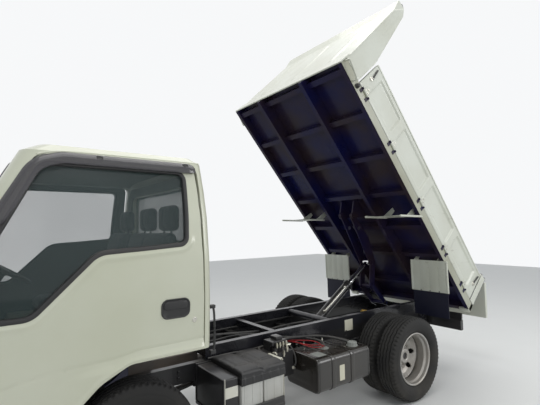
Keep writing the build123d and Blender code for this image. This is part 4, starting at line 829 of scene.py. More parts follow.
def sideY(x, z):
    # outer face at reach x and height z, turned in round the front corner
    corner = np.interp(z, [475, 600, 930, 1090, 1400, 1930], [100, 120, 120, 100, 80, 80])
    past = np.clip(x - (noseAt(z) - corner), 0, corner * 0.98)
    return halfAt(z) - (corner - np.sqrt(np.clip(corner ** 2 - past ** 2, 0, None)))


def onSide(x, z, out=0.0, side=1):
    x, z, out = np.broadcast_arrays(np.asarray(x, float), np.asarray(z, float), np.asarray(out, float))
    y = side * (sideY(x, z) + out) / 1000.0
    return np.stack([ahead(x), y, z / 1000.0], -1)


doorShape = {
    "outline": [(2060, 840), (2060, 1200), (2071, 1905), (2905, 1905), (3128, 1450), (3128, 495), (2855, 495),
                (2815, 585), (2625, 768), (2480, 840)],
    "radii": [25, 100, 45, 60, 120, 25, 20, 180, 160, 120],
    "window": [(2160, 1442), (2143, 1866), (2885, 1866), (3075, 1480), (3075, 1130), (2925, 1130),
               (2641, 1412), (2398, 1426)],
    "windowRadii": [45, 45, 70, 160, 40, 90, 130, 300],
    "middle": (2660.0, 1560.0), "handle": (2234.0, 1090.0), "key": (2120.0, 1012.0),
    "creaseAt": [2060.0, 2431.0, 2560.0, 2800.0, 3128.0], "creaseHeight": [902.0, 899.0, 878.0, 873.0, 832.0],
}


def windowPath(count):
    return evenPath(roundedPath(doorShape["window"], doorShape["windowRadii"], 14), count)


def patch(x, z, side):
    # places a small flat loop on the cab's side, round the point x, z
    return lambda p, height: onSide(x + p[:, 0], z + p[:, 1], height, side)


def archFlare(p):
    # below the crease the skin swells 15 mm over 60 mm, away to nothing 120 mm from the wheel arch ahead of
    # the axle, and a rolled lip, a bell curve 12 mm wide, follows the lower edge and the arch 17 mm in
    x, z = p[..., 0], p[..., 1]
    d = doorShape
    below = np.interp(x, d["creaseAt"], d["creaseHeight"]) - z
    clear = np.where(x > 2430.0, np.hypot(x - 2430.0, z - 357.0) - 480.0, 0.0)
    swell = 15.0 * smooth(below / 60.0) * (1 - smooth(clear / 120.0))
    loop = evenPath(roundedPath(d["outline"], d["radii"], 14), 400)
    loop = loop[(loop[:, 1] < 842) & (loop[:, 0] < 2860)]
    lip = 7.0 * np.exp(-((nearest(p, loop) - 17.0) / 12.0) ** 2)
    return swell + lip - 3.0 * np.exp(-(below / 6.0) ** 2) + shoulder(p)


def shoulder(p):
    # a soft bead 30 mm below the glass, all along the window's lower edge
    bead = np.exp(-((nearest(p, windowPath(300)) - 30.0) / 13.0) ** 2)
    return 6.0 * bead * smooth((1500.0 - p[:, 1]) / 60.0)


def doorSkin(side):
    outer = evenPath(roundedPath(doorShape["outline"], doorShape["radii"], 14), 420)
    window = cutByRays(outer, windowPath(1400), doorShape["middle"])
    fill = 1.0 - (1.0 - np.linspace(0, 0.985, 84)) ** 1.6  # rows close up towards the door's edge
    rows, marks = [], []
    inward = outer + (window - outer) / np.linalg.norm(window - outer, axis=1, keepdims=True) * 2.5
    for out, loop, kind in ((-44, window, 1), (-26, window, 1), (-6, window, 0), (-1.2, window, 0)):
        rows.append(onSide(loop[:, 0], loop[:, 1], out, side))
        marks.append(kind)
    for t in fill[1:]:
        p = window + (outer - window) * t
        rows.append(onSide(p[:, 0], p[:, 1], archFlare(p), side))
        marks.append(0)
    rows.append(onSide(inward[:, 0], inward[:, 1], archFlare(inward), side))
    rows.append(onSide(outer[:, 0], outer[:, 1], archFlare(outer) - 2.5, side))
    rows.append(onSide(outer[:, 0], outer[:, 1], -22, side))
    marks += [0, 0, 1]
    thin = 30 + 15 * smooth((1700 - outer[:, 1]) / 300.0)
    rows.append(onSide(outer[:, 0], outer[:, 1], -thin, side))
    marks.append(1)
    for t in (0.9, 0.6, 0.3):
        p = window + (outer - window) * t
        rows.append(onSide(p[:, 0], p[:, 1], -(30 + 15 * smooth((1700 - p[:, 1]) / 300.0)), side))
        marks.append(1)
    return np.stack(rows), marks


def sealBand(side):
    # rubber round the glass: a flattened half round carried along the window's loop
    section = [(-13, -22), (-13, -6), (-9, 1.0), (-4, 3.2), (4, 3.6), (10, 2.6), (12.5, 0.2), (12.5, -4)]
    return beading(windowPath(420), section, patch(0, 0, side))


def handleParts(side):
    # black bezel with a deep scoop, the flap across its upper half, and the lock
    x, z = doorShape["handle"]
    loop = roundedPath([(84, 54), (-84, 54), (-84, -54), (84, -54)], 38, 12)
    levels = [(1.0, -3), (1.0, 3.5), (0.985, 5.5), (0.94, 6.2), (0.90, 5.0), (0.87, 2.4), (0.84, 0.9),
              (0.5, 0.7), (0.0, 0.7)]
    bezel = raised(loop, levels, patch(x, z, side))
    flap = roundedPath([(70, 28), (-70, 28), (-70, -17), (70, -17)], 16, 10)
    levels = [(0.0, -6), (0.9, -6), (0.99, -3), (1.0, 1), (0.98, 4), (0.9, 6.0), (0.55, 7.0), (0.0, 7.4)]
    grip = raised(flap, levels, patch(x, z + 12, side))
    levels = [(15, -1), (15, 2.0), (13.5, 3.4), (9, 3.6), (8.2, 1.6), (2.2, 1.6), (0.0, 1.0)]
    return [bezel, grip, raised(circle(28), levels, patch(*doorShape["key"], side))]


def visorBand(side):
    # smoked guard over the window's top and down its front edge: bowed out from the frame, with a folded lip
    path = roundedPath([(2066, 1888), (2790, 1890), (2905, 1856), (3062, 1560)], [1, 60, 150, 1], 14, False)
    path = evenPath(path, 150, False)
    step = np.gradient(path, axis=0)
    normal = np.stack([-step[:, 1], step[:, 0]], -1)
    normal /= np.linalg.norm(normal, axis=1, keepdims=True)
    normal *= np.sign(normal[40, 1])
    ends = np.clip(np.minimum(np.arange(150), 149 - np.arange(150)) / 5.0, 0, 1) ** 0.5
    section = [(-24, 13), (-20, 18), (-6, 22), (12, 22), (26, 16), (36, 5), (40, 1.2), (38, 0.4), (33, 1.0),
               (24, 13), (11, 19), (-6, 19), (-19, 15)]
    rows = [onSide(*(path + normal * (a * (0.55 + 0.45 * ends))[:, None]).T, b * (0.5 + 0.5 * ends), side)
            for a, b in section]
    base = roundedPath([(16, 9), (-16, 9), (-16, -9), (16, -9)], 4, 4)
    clips = [raised(base, ((1, 6), (1, 19.5), (0.9, 21), (0.0, 21)), patch(*(path[i] + normal[i] * 24), side))
             for i in (8, 70)]
    return np.stack(rows), clips


def mirrorParts(side):
    # shell with rounded edges, glass on its back face, and two bent tubes to the pillar
    y = side * 930.0
    parts = [brick((3141, y - 80, 1295), (3195, y + 80, 1585), 30, "x", 20, 6),
             brick((3139.4, y - 68, 1309), (3143, y + 68, 1571), 24, "x", 1, 3)]
    for z in (1250, 1340):
        parts.append(plumbing([(3150, side * 825.5, z), (3150, side * 870, z), (3155, side * 915, z + 8),
                               (3160, side * 931, z + 50)], 9.0, 30, 12))
    return parts


def addDoors():
    for side, word in ((1, "left"), (-1, "right")):
        big = word.title()
        surface, marks = doorSkin(side)
        skin = gridPiece("doorSkin" + big, surface, ["creamPaint", "darkTrim"], True, bands=marks, sharp=28)
        rideWith(skin, "door_" + word, "body_paint", "door_" + word)
        seal = gridPiece("windowSeal" + big, sealBand(side), ["blackPlastic"])
        rideWith(seal, "door_" + word, "black_plastic")
        handle = joinGrids("doorHandle" + big, handleParts(side), ["blackPlastic", "zincPlate"], [0, 0, 1])
        rideWith(handle, "door_" + word, "black_plastic")
        band, clips = visorBand(side)
        visor = joinGrids("rainVisor" + big, [band] + clips, ["smokedPlastic", "blackPlastic"], [0, 1, 1],
                          [(True, False)] + [(False, True)] * 2)
        rideWith(visor, "door_" + word, "smoked_plastic", "rain_visor_" + word)
    mirrors = joinGrids("mirrorSet", mirrorParts(1) + mirrorParts(-1), ["blackPlastic", "rodChrome"],
                        [0, 1, 0, 0] * 2)
    rideWith(mirrors, "cab", "black_plastic", "mirrors")
    print("doors made")


addDoors()


# bed: gates with pressed panels, headboard, mudguards, flaps and small parts, in the bed's own millimetres

bed = {
    "gateBack": -44.0, "gateFront": 2542.0, "gateLow": 134.0, "gateIn": 769.0, "gateThick": 34.0,
    "ribs": [-44.0, 76.0, 600.0, 680.0, 1260.0, 1340.0, 1920.0, 2000.0, 2422.0, 2542.0],
    "panelLow": 188.0, "panelHigh": 428.0, "press": 14.0, "ease": 26.0,
    "hinges": [157.0, 658.0, 1255.0, 1900.0, 2440.0], "hingeY": 814.0, "hingeZ": 128.0,
    "guards": [((1183, 20), (1400, -230)), ((593, 34), (343, -160))],
}


def onBed(x, z, side):
    # places a small flat loop on the bed's side, round the point x, z, at y out from the middle line
    return lambda p, y: inBed(x + p[:, 0], side * y, z + p[:, 1])


def pressing(x, z):
    # depth of the pressed panels: between each pair of ribs, eased in over a soft edge on all four sides
    b = bed
    across = np.zeros_like(x)
    for start, end in zip(b["ribs"][1::2], b["ribs"][2::2]):
        across += smooth((x - start) / b["ease"]) * smooth((end - x) / b["ease"])
    up = smooth((z - b["panelLow"]) / b["ease"]) * smooth((b["panelHigh"] - z) / b["ease"])
    return b["press"] * across * up


def gateSkin(side):
    # outer face, rolled top, inner face and folded bottom as one closed strip along the gate
    b = bed
    ends = [b["gateBack"] + 3, b["gateFront"] - 3]
    stops = sorted(set(np.round(np.concatenate([np.linspace(*ends, 60)] + [
        np.linspace(r - 30, r + 30, 13) for r in b["ribs"]]), 1)))
    x = np.array([s for s in stops if ends[0] <= s <= ends[1]])
    z = np.concatenate([np.linspace(140, 180, 4), np.linspace(184, 222, 9), np.linspace(240, 376, 6),
                        np.linspace(394, 432, 9), np.linspace(438, 466, 4)])
    face = [(b["gateIn"] + b["gateThick"], level) for level in z]
    top = [(b["gateIn"] + 17 + 21 * math.cos(t), 466 + 21 * math.sin(t))
           for t in np.linspace(-0.3, math.pi + 0.3, 13)]
    back = [(b["gateIn"], 455), (b["gateIn"], 300), (b["gateIn"], 142)]
    low = [(b["gateIn"] + 3, b["gateLow"] + 2), (b["gateIn"] + 31, b["gateLow"] + 2)]
    rows = []
    for y, level in face + top + back + low:
        depth = pressing(x, np.full_like(x, level)) if y == b["gateIn"] + b["gateThick"] else 0.0
        rows.append(inBed(x, side * (y - depth), level))
    return closedEnds(np.stack(rows, 1))


def gateParts(side):
    # hinge leaves with their barrels and bolts, and the latch lever at each end
    b = bed
    grids, marks = [], []
    leaf = roundedPath([(-34.0, 140), (34, 140), (26, 206), (-26, 206)], 10, 6)
    mid = leaf.mean(0)
    faces = [(0.96, 803.2), (1.0, 804.4), (1.0, 807.6), (0.94, 808.6)]
    y, z = circle(18).T
    barrel = [(-38, 0.0), (-38, 8.4), (-37, 9.2), (-13, 9.2), (-12, 8.2), (12, 8.2), (13, 9.2), (37, 9.2),
              (38, 8.4), (38, 0.0)]
    head = [(0.0, 808.0), (7.5, 808.2), (8.0, 810.5), (7.0, 812.4), (0.0, 812.8)]
    for at in b["hinges"]:
        grids.append(closedEnds(raised(leaf - mid, faces, onBed(at + mid[0], mid[1], side))))
        grids.append(np.stack([inBed(at + d, side * (b["hingeY"] + y * r), b["hingeZ"] + z * r)
                               for d, r in barrel]))
        for dx, height in ((-17, 160), (17, 160), (0, 188)):
            grids.append(raised(circle(6), head, onBed(at + dx, height, side)))
        marks += [0, 0, 1, 1, 1]
    disc = ((0, 802), (19, 802.5), (20, 806), (17, 812), (8, 813), (7, 818), (0, 818))
    for at, lean in ((2492.0, 1.0), (12.0, -1.0)):
        lever = [(at - 8 * lean, 300), (at + 4 * lean, 360), (at + 16 * lean, 420)]
        grids.append(pipeGrid(np.stack([inBed(x, side * 811, z) for x, z in lever]), 0.0075, 24, 10))
        grids.append(raised(circle(20), disc, onBed(at, 296, side)))
        marks += [2, 1]
    return grids, marks


def headboardSkin():
    # the folded profile with rounded corners, carried across the bed, and shallow ribs pressed into its face
    outline = [(2773, 130), (2830, 1060), (2869, 1194), (2776, 1218), (2720, 1146), (2790, 1058), (2739, 130)]
    loop = evenPath(roundedPath(outline, [3, 30, 10, 10, 10, 16, 3], 8), 220)
    y = np.concatenate([[-803.0, -800.0], np.linspace(-770, 770, 120), [800.0, 803.0]])
    inset = np.array([2.5] + [0.0] * (len(y) - 2) + [2.5])
    middle = loop.mean(0)
    front = smooth((loop[:, 0] - np.interp(loop[:, 1], [130, 1060], [2756, 2810])) / 6.0)
    tall = smooth((loop[:, 1] - 250) / 40.0) * smooth((985 - loop[:, 1]) / 40.0)
    rows = []
    for at, cut in zip(y, inset):
        ribs = sum(math.exp(-((at - c) / 30.0) ** 4) for c in (-520.0, 0.0, 520.0))
        shift = np.stack([7.0 * ribs * front * tall, np.zeros(len(loop))], -1)
        p = loop + shift + (middle - loop) / 600.0 * cut
        rows.append(inBed(p[:, 0], at, p[:, 1]))
    for end, at in ((0, -803.0), (-1, 803.0)):  # each end shuts onto the profile's own middle line
        shut = np.stack([np.interp(loop[:, 1], [130, 1060, 1182], [2756, 2810, 2822]), loop[:, 1]], -1)
        rows.insert(0 if end == 0 else len(rows), inBed(shut[:, 0], at, shut[:, 1]))
    return np.stack(rows)


def cheekPlates():
    # folded plate at each end of the headboard, with a rolled flange round its edge, and the apron below
    grids = []
    edge = [(2562, 130), (2771, 130), (2826, 1058), (2773, 1214), (2720, 1142), (2569, 448)]
    for side in (1, -1):
        loop = evenPath(roundedPath(edge, [10, 4, 30, 8, 30, 160], 8), 200)
        mid = np.array([2680.0, 620.0])
        faces = ((0.97, 790), (1.0, 791), (1.0, 805), (0.99, 806.6), (0.945, 806.6), (0.925, 803.6))
        grids.append(closedEnds(raised(loop - mid, faces, onBed(*mid, side))))
        y, z = np.array([(804.6, 42), (806.0, 41), (807, 42.5), (807, 124), (806, 125.6), (804.6, 125)]).T
        grids.append(closedEnds(np.stack([inBed(x, side * y, z) for x in (-144.0, -143.0, 2771.0, 2772.0)])))
        grids.append(bedBrick((-146, 764, 129), (-52, 806.6, 516), 9, "z", side))
        grids.append(bedBrick((-147, 700, 34), (-96, 807, 129), 7, "x", side))
    x, z = roundedPath([(2774.0, 42), (2786, 42), (2786, 186), (2774, 186)], 3, 4).T
    grids.append(closedEnds(np.stack([inBed(x, y, z) for y in (-803.0, -802.0, 802.0, 803.0)])))
    return grids


def bedBrick(low, high, radius, along, side):
    # rounded block between two corners in the bed's axes, y counted outward
    grid = blockGrid(np.array(low) / 1000.0, np.array(high) / 1000.0, radius / 1000.0, along, 4) * 1000.0
    return inBed(grid[..., 0], side * grid[..., 1], grid[..., 2])


def grabAndKnobs():
    # bent grab bar on the rail at the front corner, and a rubber stop behind it, on each side
    grids = []
    bar = [(2762, 805, 98), (2762, 826, 98), (2762, 848, 96), (2748, 852, 92), (2700, 852, 84),
           (2640, 852, 74), (2606, 852, 66), (2592, 848, 64), (2592, 826, 62), (2592, 805, 62)]
    knob = ((0, 806), (22, 806), (22, 814), (19, 820), (16, 832), (9, 836), (0, 837))
    for side in (1, -1):
        grids.append(pipeGrid(np.stack([inBed(x, side * y, z) for x, y, z in bar]), 0.008, 60, 12))
        grids.append(raised(circle(24), knob, onBed(2538, 78, side)))
    return grids


def guardSheets():
    # each sheet has rolled edges and three pressed lines down it, and hangs from the floor on two brackets
    face = [(436, 0), (438, 7), (446, 10), (453, 7), (459, 2)]
    for line in (540, 640, 740):
        face += [(line - 14, 2), (line - 5, 3.4), (line + 5, 3.4), (line + 14, 2)]
    face += [(820, 2), (826, 7), (833, 10), (841, 7), (843, 0)]
    loop = np.array(face + [(y, -h if h > 4.9 or h < 2.1 else h - 2.6) for y, h in face[::-1][1:-1]], float)
    grids = []
    for (x0, z0), (x1, z1) in bed["guards"]:
        run = np.array([x1 - x0, z1 - z0], float)
        normal = np.array([run[1], -run[0]]) / np.linalg.norm(run)
        for side in (1, -1):
            rows = []
            for t in (0.0, 0.01, 0.1, 0.3, 0.5, 0.7, 0.9, 0.99, 1.0):
                thin = 0.5 if t in (0.0, 1.0) else 1.0
                x = x0 + run[0] * t + normal[0] * (2.5 + loop[:, 1] * thin)
                z = z0 + run[1] * t + normal[1] * (2.5 + loop[:, 1] * thin)
                rows.append(inBed(x, side * loop[:, 0], z))
            grids.append(closedEnds(np.stack(rows)))
            lean = 1 if x1 > x0 else -1
            low = (x0 + run[0] * 0.34, z0 + run[1] * 0.34)
            x, z = roundedPath([(x0, 121.5), (x0 + lean * 44, 121.5), low, (x0, z0)], [1, 4, 6, 1], 4).T
            for y in (479.0, 733.0):
                grids.append(closedEnds(np.stack([inBed(x, side * (y + d), z) for d in (0, 0.5, 4, 4.5)])))
    return grids


def flapSheets():
    # rubber hung from the rear sheet's lower edge, bowed a little, under a clamp strip with four screws
    (x0, z0), (x1, z1) = bed["guards"][1]
    run = np.array([x1 - x0, z1 - z0]) / math.hypot(x1 - x0, z1 - z0)
    normal = np.array([run[1], -run[0]])

    def hung(along, out):  # x and z at a distance down the sheet's line and out from it
        return x1 + run[0] * along + normal[0] * out, z1 + run[1] * along + normal[1] * out

    front = [(-22, 6.5), (-22, 9.5)] + [(d, 8.5) for d in np.linspace(-10, 249, 22)]
    section = front + [(250, 7)] + [(d, 3.0) for d in np.linspace(249, -10, 22)]
    strip = hung(*np.array([(-26, 8.6), (-24, 11.2), (-4, 11.2), (-2, 8.6)]).T)
    y = np.linspace(450, 830, 30)
    wave = np.sin((y - 450) / 380.0 * 5.2 + 0.6)
    out = inBed(x1 + normal[0], 0.0, z1 + normal[1]) - inBed(x1, 0.0, z1)
    out = out / np.linalg.norm(out)
    flat = np.array([0.0, 1.0, 0.0])
    ring = circle(6)
    ring = ring[:, :1] * flat + ring[:, 1:] * np.cross(out, flat)
    screw = ((0, 0), (8, 0), (8, 4), (6.5, 5.5), (0, 5.6))
    sheets, clamps = [], []
    for side in (1, -1):
        rows = []
        for along, h in section:
            x, z = hung(along, h + 7.0 * smooth(along / 250.0) * wave)
            rows.append(inBed(x, side * y, z))
        sheets.append(closedEnds(np.stack(rows, 1)))
        clamps.append(closedEnds(np.stack([inBed(strip[0], side * at, strip[1])
                                           for at in (452.0, 453.0, 827.0, 828.0)])))
        for at in (480.0, 590.0, 690.0, 800.0):
            x, z = hung(-14, 11)
            foot = inBed(x, side * at, z)
            clamps.append(np.stack([foot + out * h / 1000 + ring * r / 1000 for r, h in screw]))
    return sheets, clamps


def addBed():
    for side, word in ((1, "left"), (-1, "right")):
        big = word.title()
        gate = gridPiece("gateSkin" + big, gateSkin(side), ["bedPaint"], sharp=40)
        rideWith(gate, "side_gate_" + word, "body_paint", "side_gate_" + word)
        grids, marks = gateParts(side)
        parts = joinGrids("gateHinges" + big, grids, ["bedPaint", "zincPlate", "blackPlastic"], marks)
        rideWith(parts, "side_gate_" + word, "body_paint")
    board = gridPiece("headboardSkin", headboardSkin(), ["bedPaint"], sharp=38)
    rideWith(board, "bed", "body_paint", "headboard")
    # the side rail strips take the darker copy of the bed paint, painted shade under the gates
    cheeks = joinGrids("headboardCheeks", cheekPlates(), ["bedPaint", "railPaint"], [0, 1, 0, 0] * 2 + [0])
    rideWith(cheeks, "bed", "body_paint")
    bars = joinGrids("grabBars", grabAndKnobs(), ["bedPaint", "blackPlastic"], [0, 1, 0, 1])
    rideWith(bars, "bed", "body_paint")
    rideWith(joinGrids("mudguardSheets", guardSheets(), ["bedPaint"]), "bed", "body_paint", "mudguards")
    flaps, clamps = flapSheets()
    flapSet = joinGrids("flapSheets", flaps + clamps, ["flapRubber", "zincPlate"],
                        [0] * len(flaps) + [1] * len(clamps))
    rideWith(flapSet, "bed", "flap_rubber", "mud_flaps")
    print("bed made")


addBed()


# tank, battery cover, pipes and fittings on the chassis, in millimetres ahead of the rear axle

chassis = {
    "tankBack": 559.0, "tankFront": 1133.0, "tankIn": 420.0, "tankOut": 787.0, "tankLow": 319.0,
    "tankHigh": 570.0, "straps": (766.0, 972.0), "strapHalf": 20.0, "capReach": 671.0, "capY": 700.0,
    "ringReach": 900.0, "ringY": 603.5, "railOut": 350.0,
}


def addTank():
    # drawn shell with a seam bead near each end, two straps on rubber, bracket arms, filler and sender
    c = chassis
    mid = np.array([(c["tankIn"] + c["tankOut"]) / 2, (c["tankLow"] + c["tankHigh"]) / 2])
    half = np.array([(c["tankOut"] - c["tankIn"]) / 2, (c["tankHigh"] - c["tankLow"]) / 2])

    def ring(out, radius):
        a, b = half + out
        return roundedPath([(a, b), (-a, b), (-a, -b), (a, -b)], radius, 9) + mid

    length = c["tankFront"] - c["tankBack"]
    steps = [(0, -26, 22), (0, -14, 32), (1.2, -7, 39), (5, -2, 43), (11, 0, 45), (17, 0, 45),
             (18.5, 2.6, 47), (21, 3.2, 48), (23.5, 2.6, 47), (25, 0, 45)]
    rows = [(at, out, r) for at, out, r in steps] + [(length / 2, 0, 45)]
    rows += [(length - at, out, r) for at, out, r in steps[::-1]]
    shell = closedEnds(np.stack([spot(c["tankBack"] + at, *ring(out, r).T) for at, out, r in rows]))
    dish = [(0.0, 0.8), (0.5, 1.4), (0.72, 2.4), (0.8, 0.6)]
    panel = [raised(ring(-26, 22) - mid, dish, lambda p, h: spot(c["tankFront"] + h - 1.0, *(mid + p).T))]
    bands, arms, bolts = [], [], []
    for reach in c["straps"]:
        for out, wide in ((0.6, 24.0), (3.6, c["strapHalf"])):
            loop = [(-wide, out - 0.6), (-wide, out + 0.6), (-wide + 1, out + 0.9), (wide - 1, out + 0.9),
                    (wide, out + 0.6), (wide, out - 0.6)]
            bands.append(np.stack([spot(reach + d, *ring(h, 45 + h).T) for d, h in loop]))
        arms.append(brick((reach - 16, c["railOut"], 305), (reach + 16, c["railOut"] + 14, 592), 3, "z", 1.5))
        arms.append(brick((reach - 16, c["railOut"] + 10, 305), (reach + 16, 512, 318.6), 3, "y", 1.5))
        head = np.array([(14, 0), (14, 9), (21, 9), (23, 7.5), (23, 0)]) / 1000.0
        bolts += [turned(head, spot(reach, c["railOut"], z), "y", 6) for z in (560, 530, 420)]
        stud = [(574, 0), (574, 7), (582, 7), (586, 4.5), (602, 4.4), (603, 0)]
        bolts.append(standing(stud, reach, 452, 12))
    grids = [shell] + panel + bands + arms + bolts
    wraps = [(False, True)] * 2 + [(True, True)] * 4 + [(False, True)] * (4 + len(bolts))
    marks = [0, 0, 1, 0, 1, 0] + [0] * 4 + [2] * len(bolts)
    tank = joinGrids("tankShell", grids, ["tankPaint", "hoseRubber", "zincPlate"], marks, wraps, sharp=34)
    rideWith(tank, "chassis", "chassis_paint", "fuel_tank")

    # filler neck and cap with finger flats, sender plate with its screws, and two blank labels
    profile = [(566, 0), (566, 44), (573, 46), (576, 40), (584, 39), (585, 37.6), (598, 37.0), (601, 34),
               (602, 28), (600.5, 22), (600.5, 0)]
    cap = standing(profile, c["capReach"], c["capY"], 48)
    flats = 1 + 0.045 * np.cos(np.linspace(0, 2 * math.pi, 48, endpoint=False) * 12)[:, None]
    centre = spot(c["capReach"], c["capY"], 0)
    cap[4:8, :, :2] = centre[:2] + (cap[4:8, :, :2] - centre[:2]) * flats
    plate = [(569, 0), (569, 44.5), (572, 45), (573, 43), (573, 33), (576, 32), (577, 29), (577, 14),
             (585, 13), (587, 11), (587, 0)]
    sender = standing(plate, c["ringReach"], c["ringY"], 40)
    screws = [standing([(573, 0), (573, 3.6), (575.5, 3.4), (576, 0)], c["ringReach"] + 38 * math.cos(a),
                       c["ringY"] + 38 * math.sin(a), 8) for a in np.arange(5) * 2 * math.pi / 5]
    fittings = joinGrids("tankFittings", [cap, sender] + screws, ["greyTrim", "zincPlate"], [0, 0] + [1] * 5)
    rideWith(fittings, "chassis", "black_plastic")
    top = roundedPath([(960.0, 640), (1085, 640), (1085, 742), (960, 742)], 8, 5)
    face = roundedPath([(858.0, 372), (912, 372), (912, 486), (858, 486)], 5, 5)
    labels = [plateOn(top, 0.7, lambda p, h: spot(*p.T, c["tankHigh"] + 0.2 + h)),
              plateOn(face, 0.6, lambda p, h: spot(p[:, 0], c["tankOut"] + 0.2 + h, p[:, 1]))]
    rideWith(joinGrids("tankLabels", labels, ["greyTrim", "blankLabel"], [0, 1]), "chassis", "black_plastic")
    print("tank made")


def lumpyLid(x, y):
    # height of the battery cover: a crown, two raised pads over the batteries, and a step down between them
    crown = 632.0 - 10.0 * (np.abs(y - 557.0) / 207.0) ** 4
    pads = sum(7.0 * smooth((58.0 - np.abs(x - p)) / 20.0) * smooth((105.0 - np.abs(y - 560.0)) / 22.0)
               for p in (1500.0, 1684.0))
    valley = 12.0 * np.exp(-((x - 1592.0) / 20.0) ** 2)
    channel = 4.0 * sum(np.exp(-((y - q) / 9.0) ** 2) for q in (470.0, 640.0))
    return crown + pads - 8.0 - valley - channel


def addBatteries():
    # two pale cases on a tray with a hold-down, under a moulded cover whose skirt ends above their middle
    nx, ny = 84, 60

    def border(low, high, n):  # places from low to high, close together at both ends
        return np.concatenate([[low, low + 1.5, low + 6], np.linspace(low + 14, high - 14, n - 6),
                               [high - 6, high - 1.5, high]])

    x, y = np.meshgrid(border(1416, 1768, nx), border(353, 762, ny), indexing="ij")
    edge = np.minimum(np.minimum(x - 1416, 1768 - x), np.minimum(y - 353, 762 - y))
    roundDown = 14.0 * (1 - np.sqrt(np.clip(1 - np.clip(1 - edge / 14.0, 0, 1) ** 2, 0, 1)))
    top = spot(x, y, lumpyLid(x, y) - roundDown)
    loop = np.stack([np.concatenate([g[:, 0], g[-1, 1:], g[-2::-1, -1], g[0, -2:0:-1]]) for g in (x, y)], -1)
    middle = loop.mean(0)
    high = lumpyLid(loop[:, 0], loop[:, 1]) - 14.0
    ribs = 1.5 * (np.cos(loop[:, 0] / 470.0 * 2 * math.pi * 7) > 0.86)
    skirt = []
    for drop, out in ((0, 0), (18, 0.8), (30, 1.0), (32, 3.0), (70, 4.0), (74, 3.0), (74, 0.5), (20, -2.5)):
        away = (loop - middle) / np.abs(loop - middle).max(0)
        lift = high * (drop == 0) + (drop > 0) * (606.0 - drop)
        p = loop + away * (out - 3.0 + ribs[:, None] * (drop > 18))
        skirt.append(spot(p[:, 0], p[:, 1], np.where(drop == 0, high, lift)))
    cover = joinGrids("batteryCover", [top, np.stack(skirt)], ["blackPlastic"],
                      wraps=[(False, False), (False, True)], sharp=40)
    rideWith(cover, "chassis", "black_plastic", "battery_box")
    cases, marks = [], []
    for place in (1504.0, 1680.0):
        cases.append(brick((place - 83, 428, 354), (place + 83, 752, 566), 7, "z", 4))
        cases.append(brick((place - 86, 424, 366), (place + 86, 756, 376), 4, "z", 3))
        for k in range(3):  # shallow upright ribs on the outer side
            rib = place - 60 + k * 60
            cases.append(brick((rib - 3, 750, 380), (rib + 3, 754, 540), 2, "z", 2, 2))
        marks += [0] * 5
    tray = [brick((1420, 351, 330), (1890, 765, 352), 8, "z", 3),
            brick((1420, 350.5, 352), (1890, 366, 596), 3, "z", 2),
            brick((1425, 736, 348), (1885, 763, 392), 4, "x", 3),
            brick((1772, 366, 352), (1888, 738, 590), 14, "z", 10, 5)]
    rods = [plumbing([(reach, 752, z) for z in (360, 470, 600)], 4.0, 8, 8, (0, 1, 0))
            for reach in (1424, 1886)]
    white = brick((1398, 560, 560), (1424, 700, 622), 8, "x", 6)
    batteries = joinGrids("batteryCases", cases + tray + rods + [white],
                          ["batteryCase", "chassisBlack", "zincPlate", "blankLabel"],
                          marks + [1] * 4 + [2, 2, 3])
    rideWith(batteries, "chassis", "black_plastic")
    tag = roundedPath([(1782.0, 474), (1880, 474), (1880, 540), (1782, 540)], 4, 4)
    plate = plateOn(tag, 0.8, lambda p, h: spot(p[:, 0], 738.2 + h, p[:, 1]))
    rideWith(gridPiece("coverLabel", plate, ["blankLabel"]), "chassis", "black_plastic")
    print("batteries made")


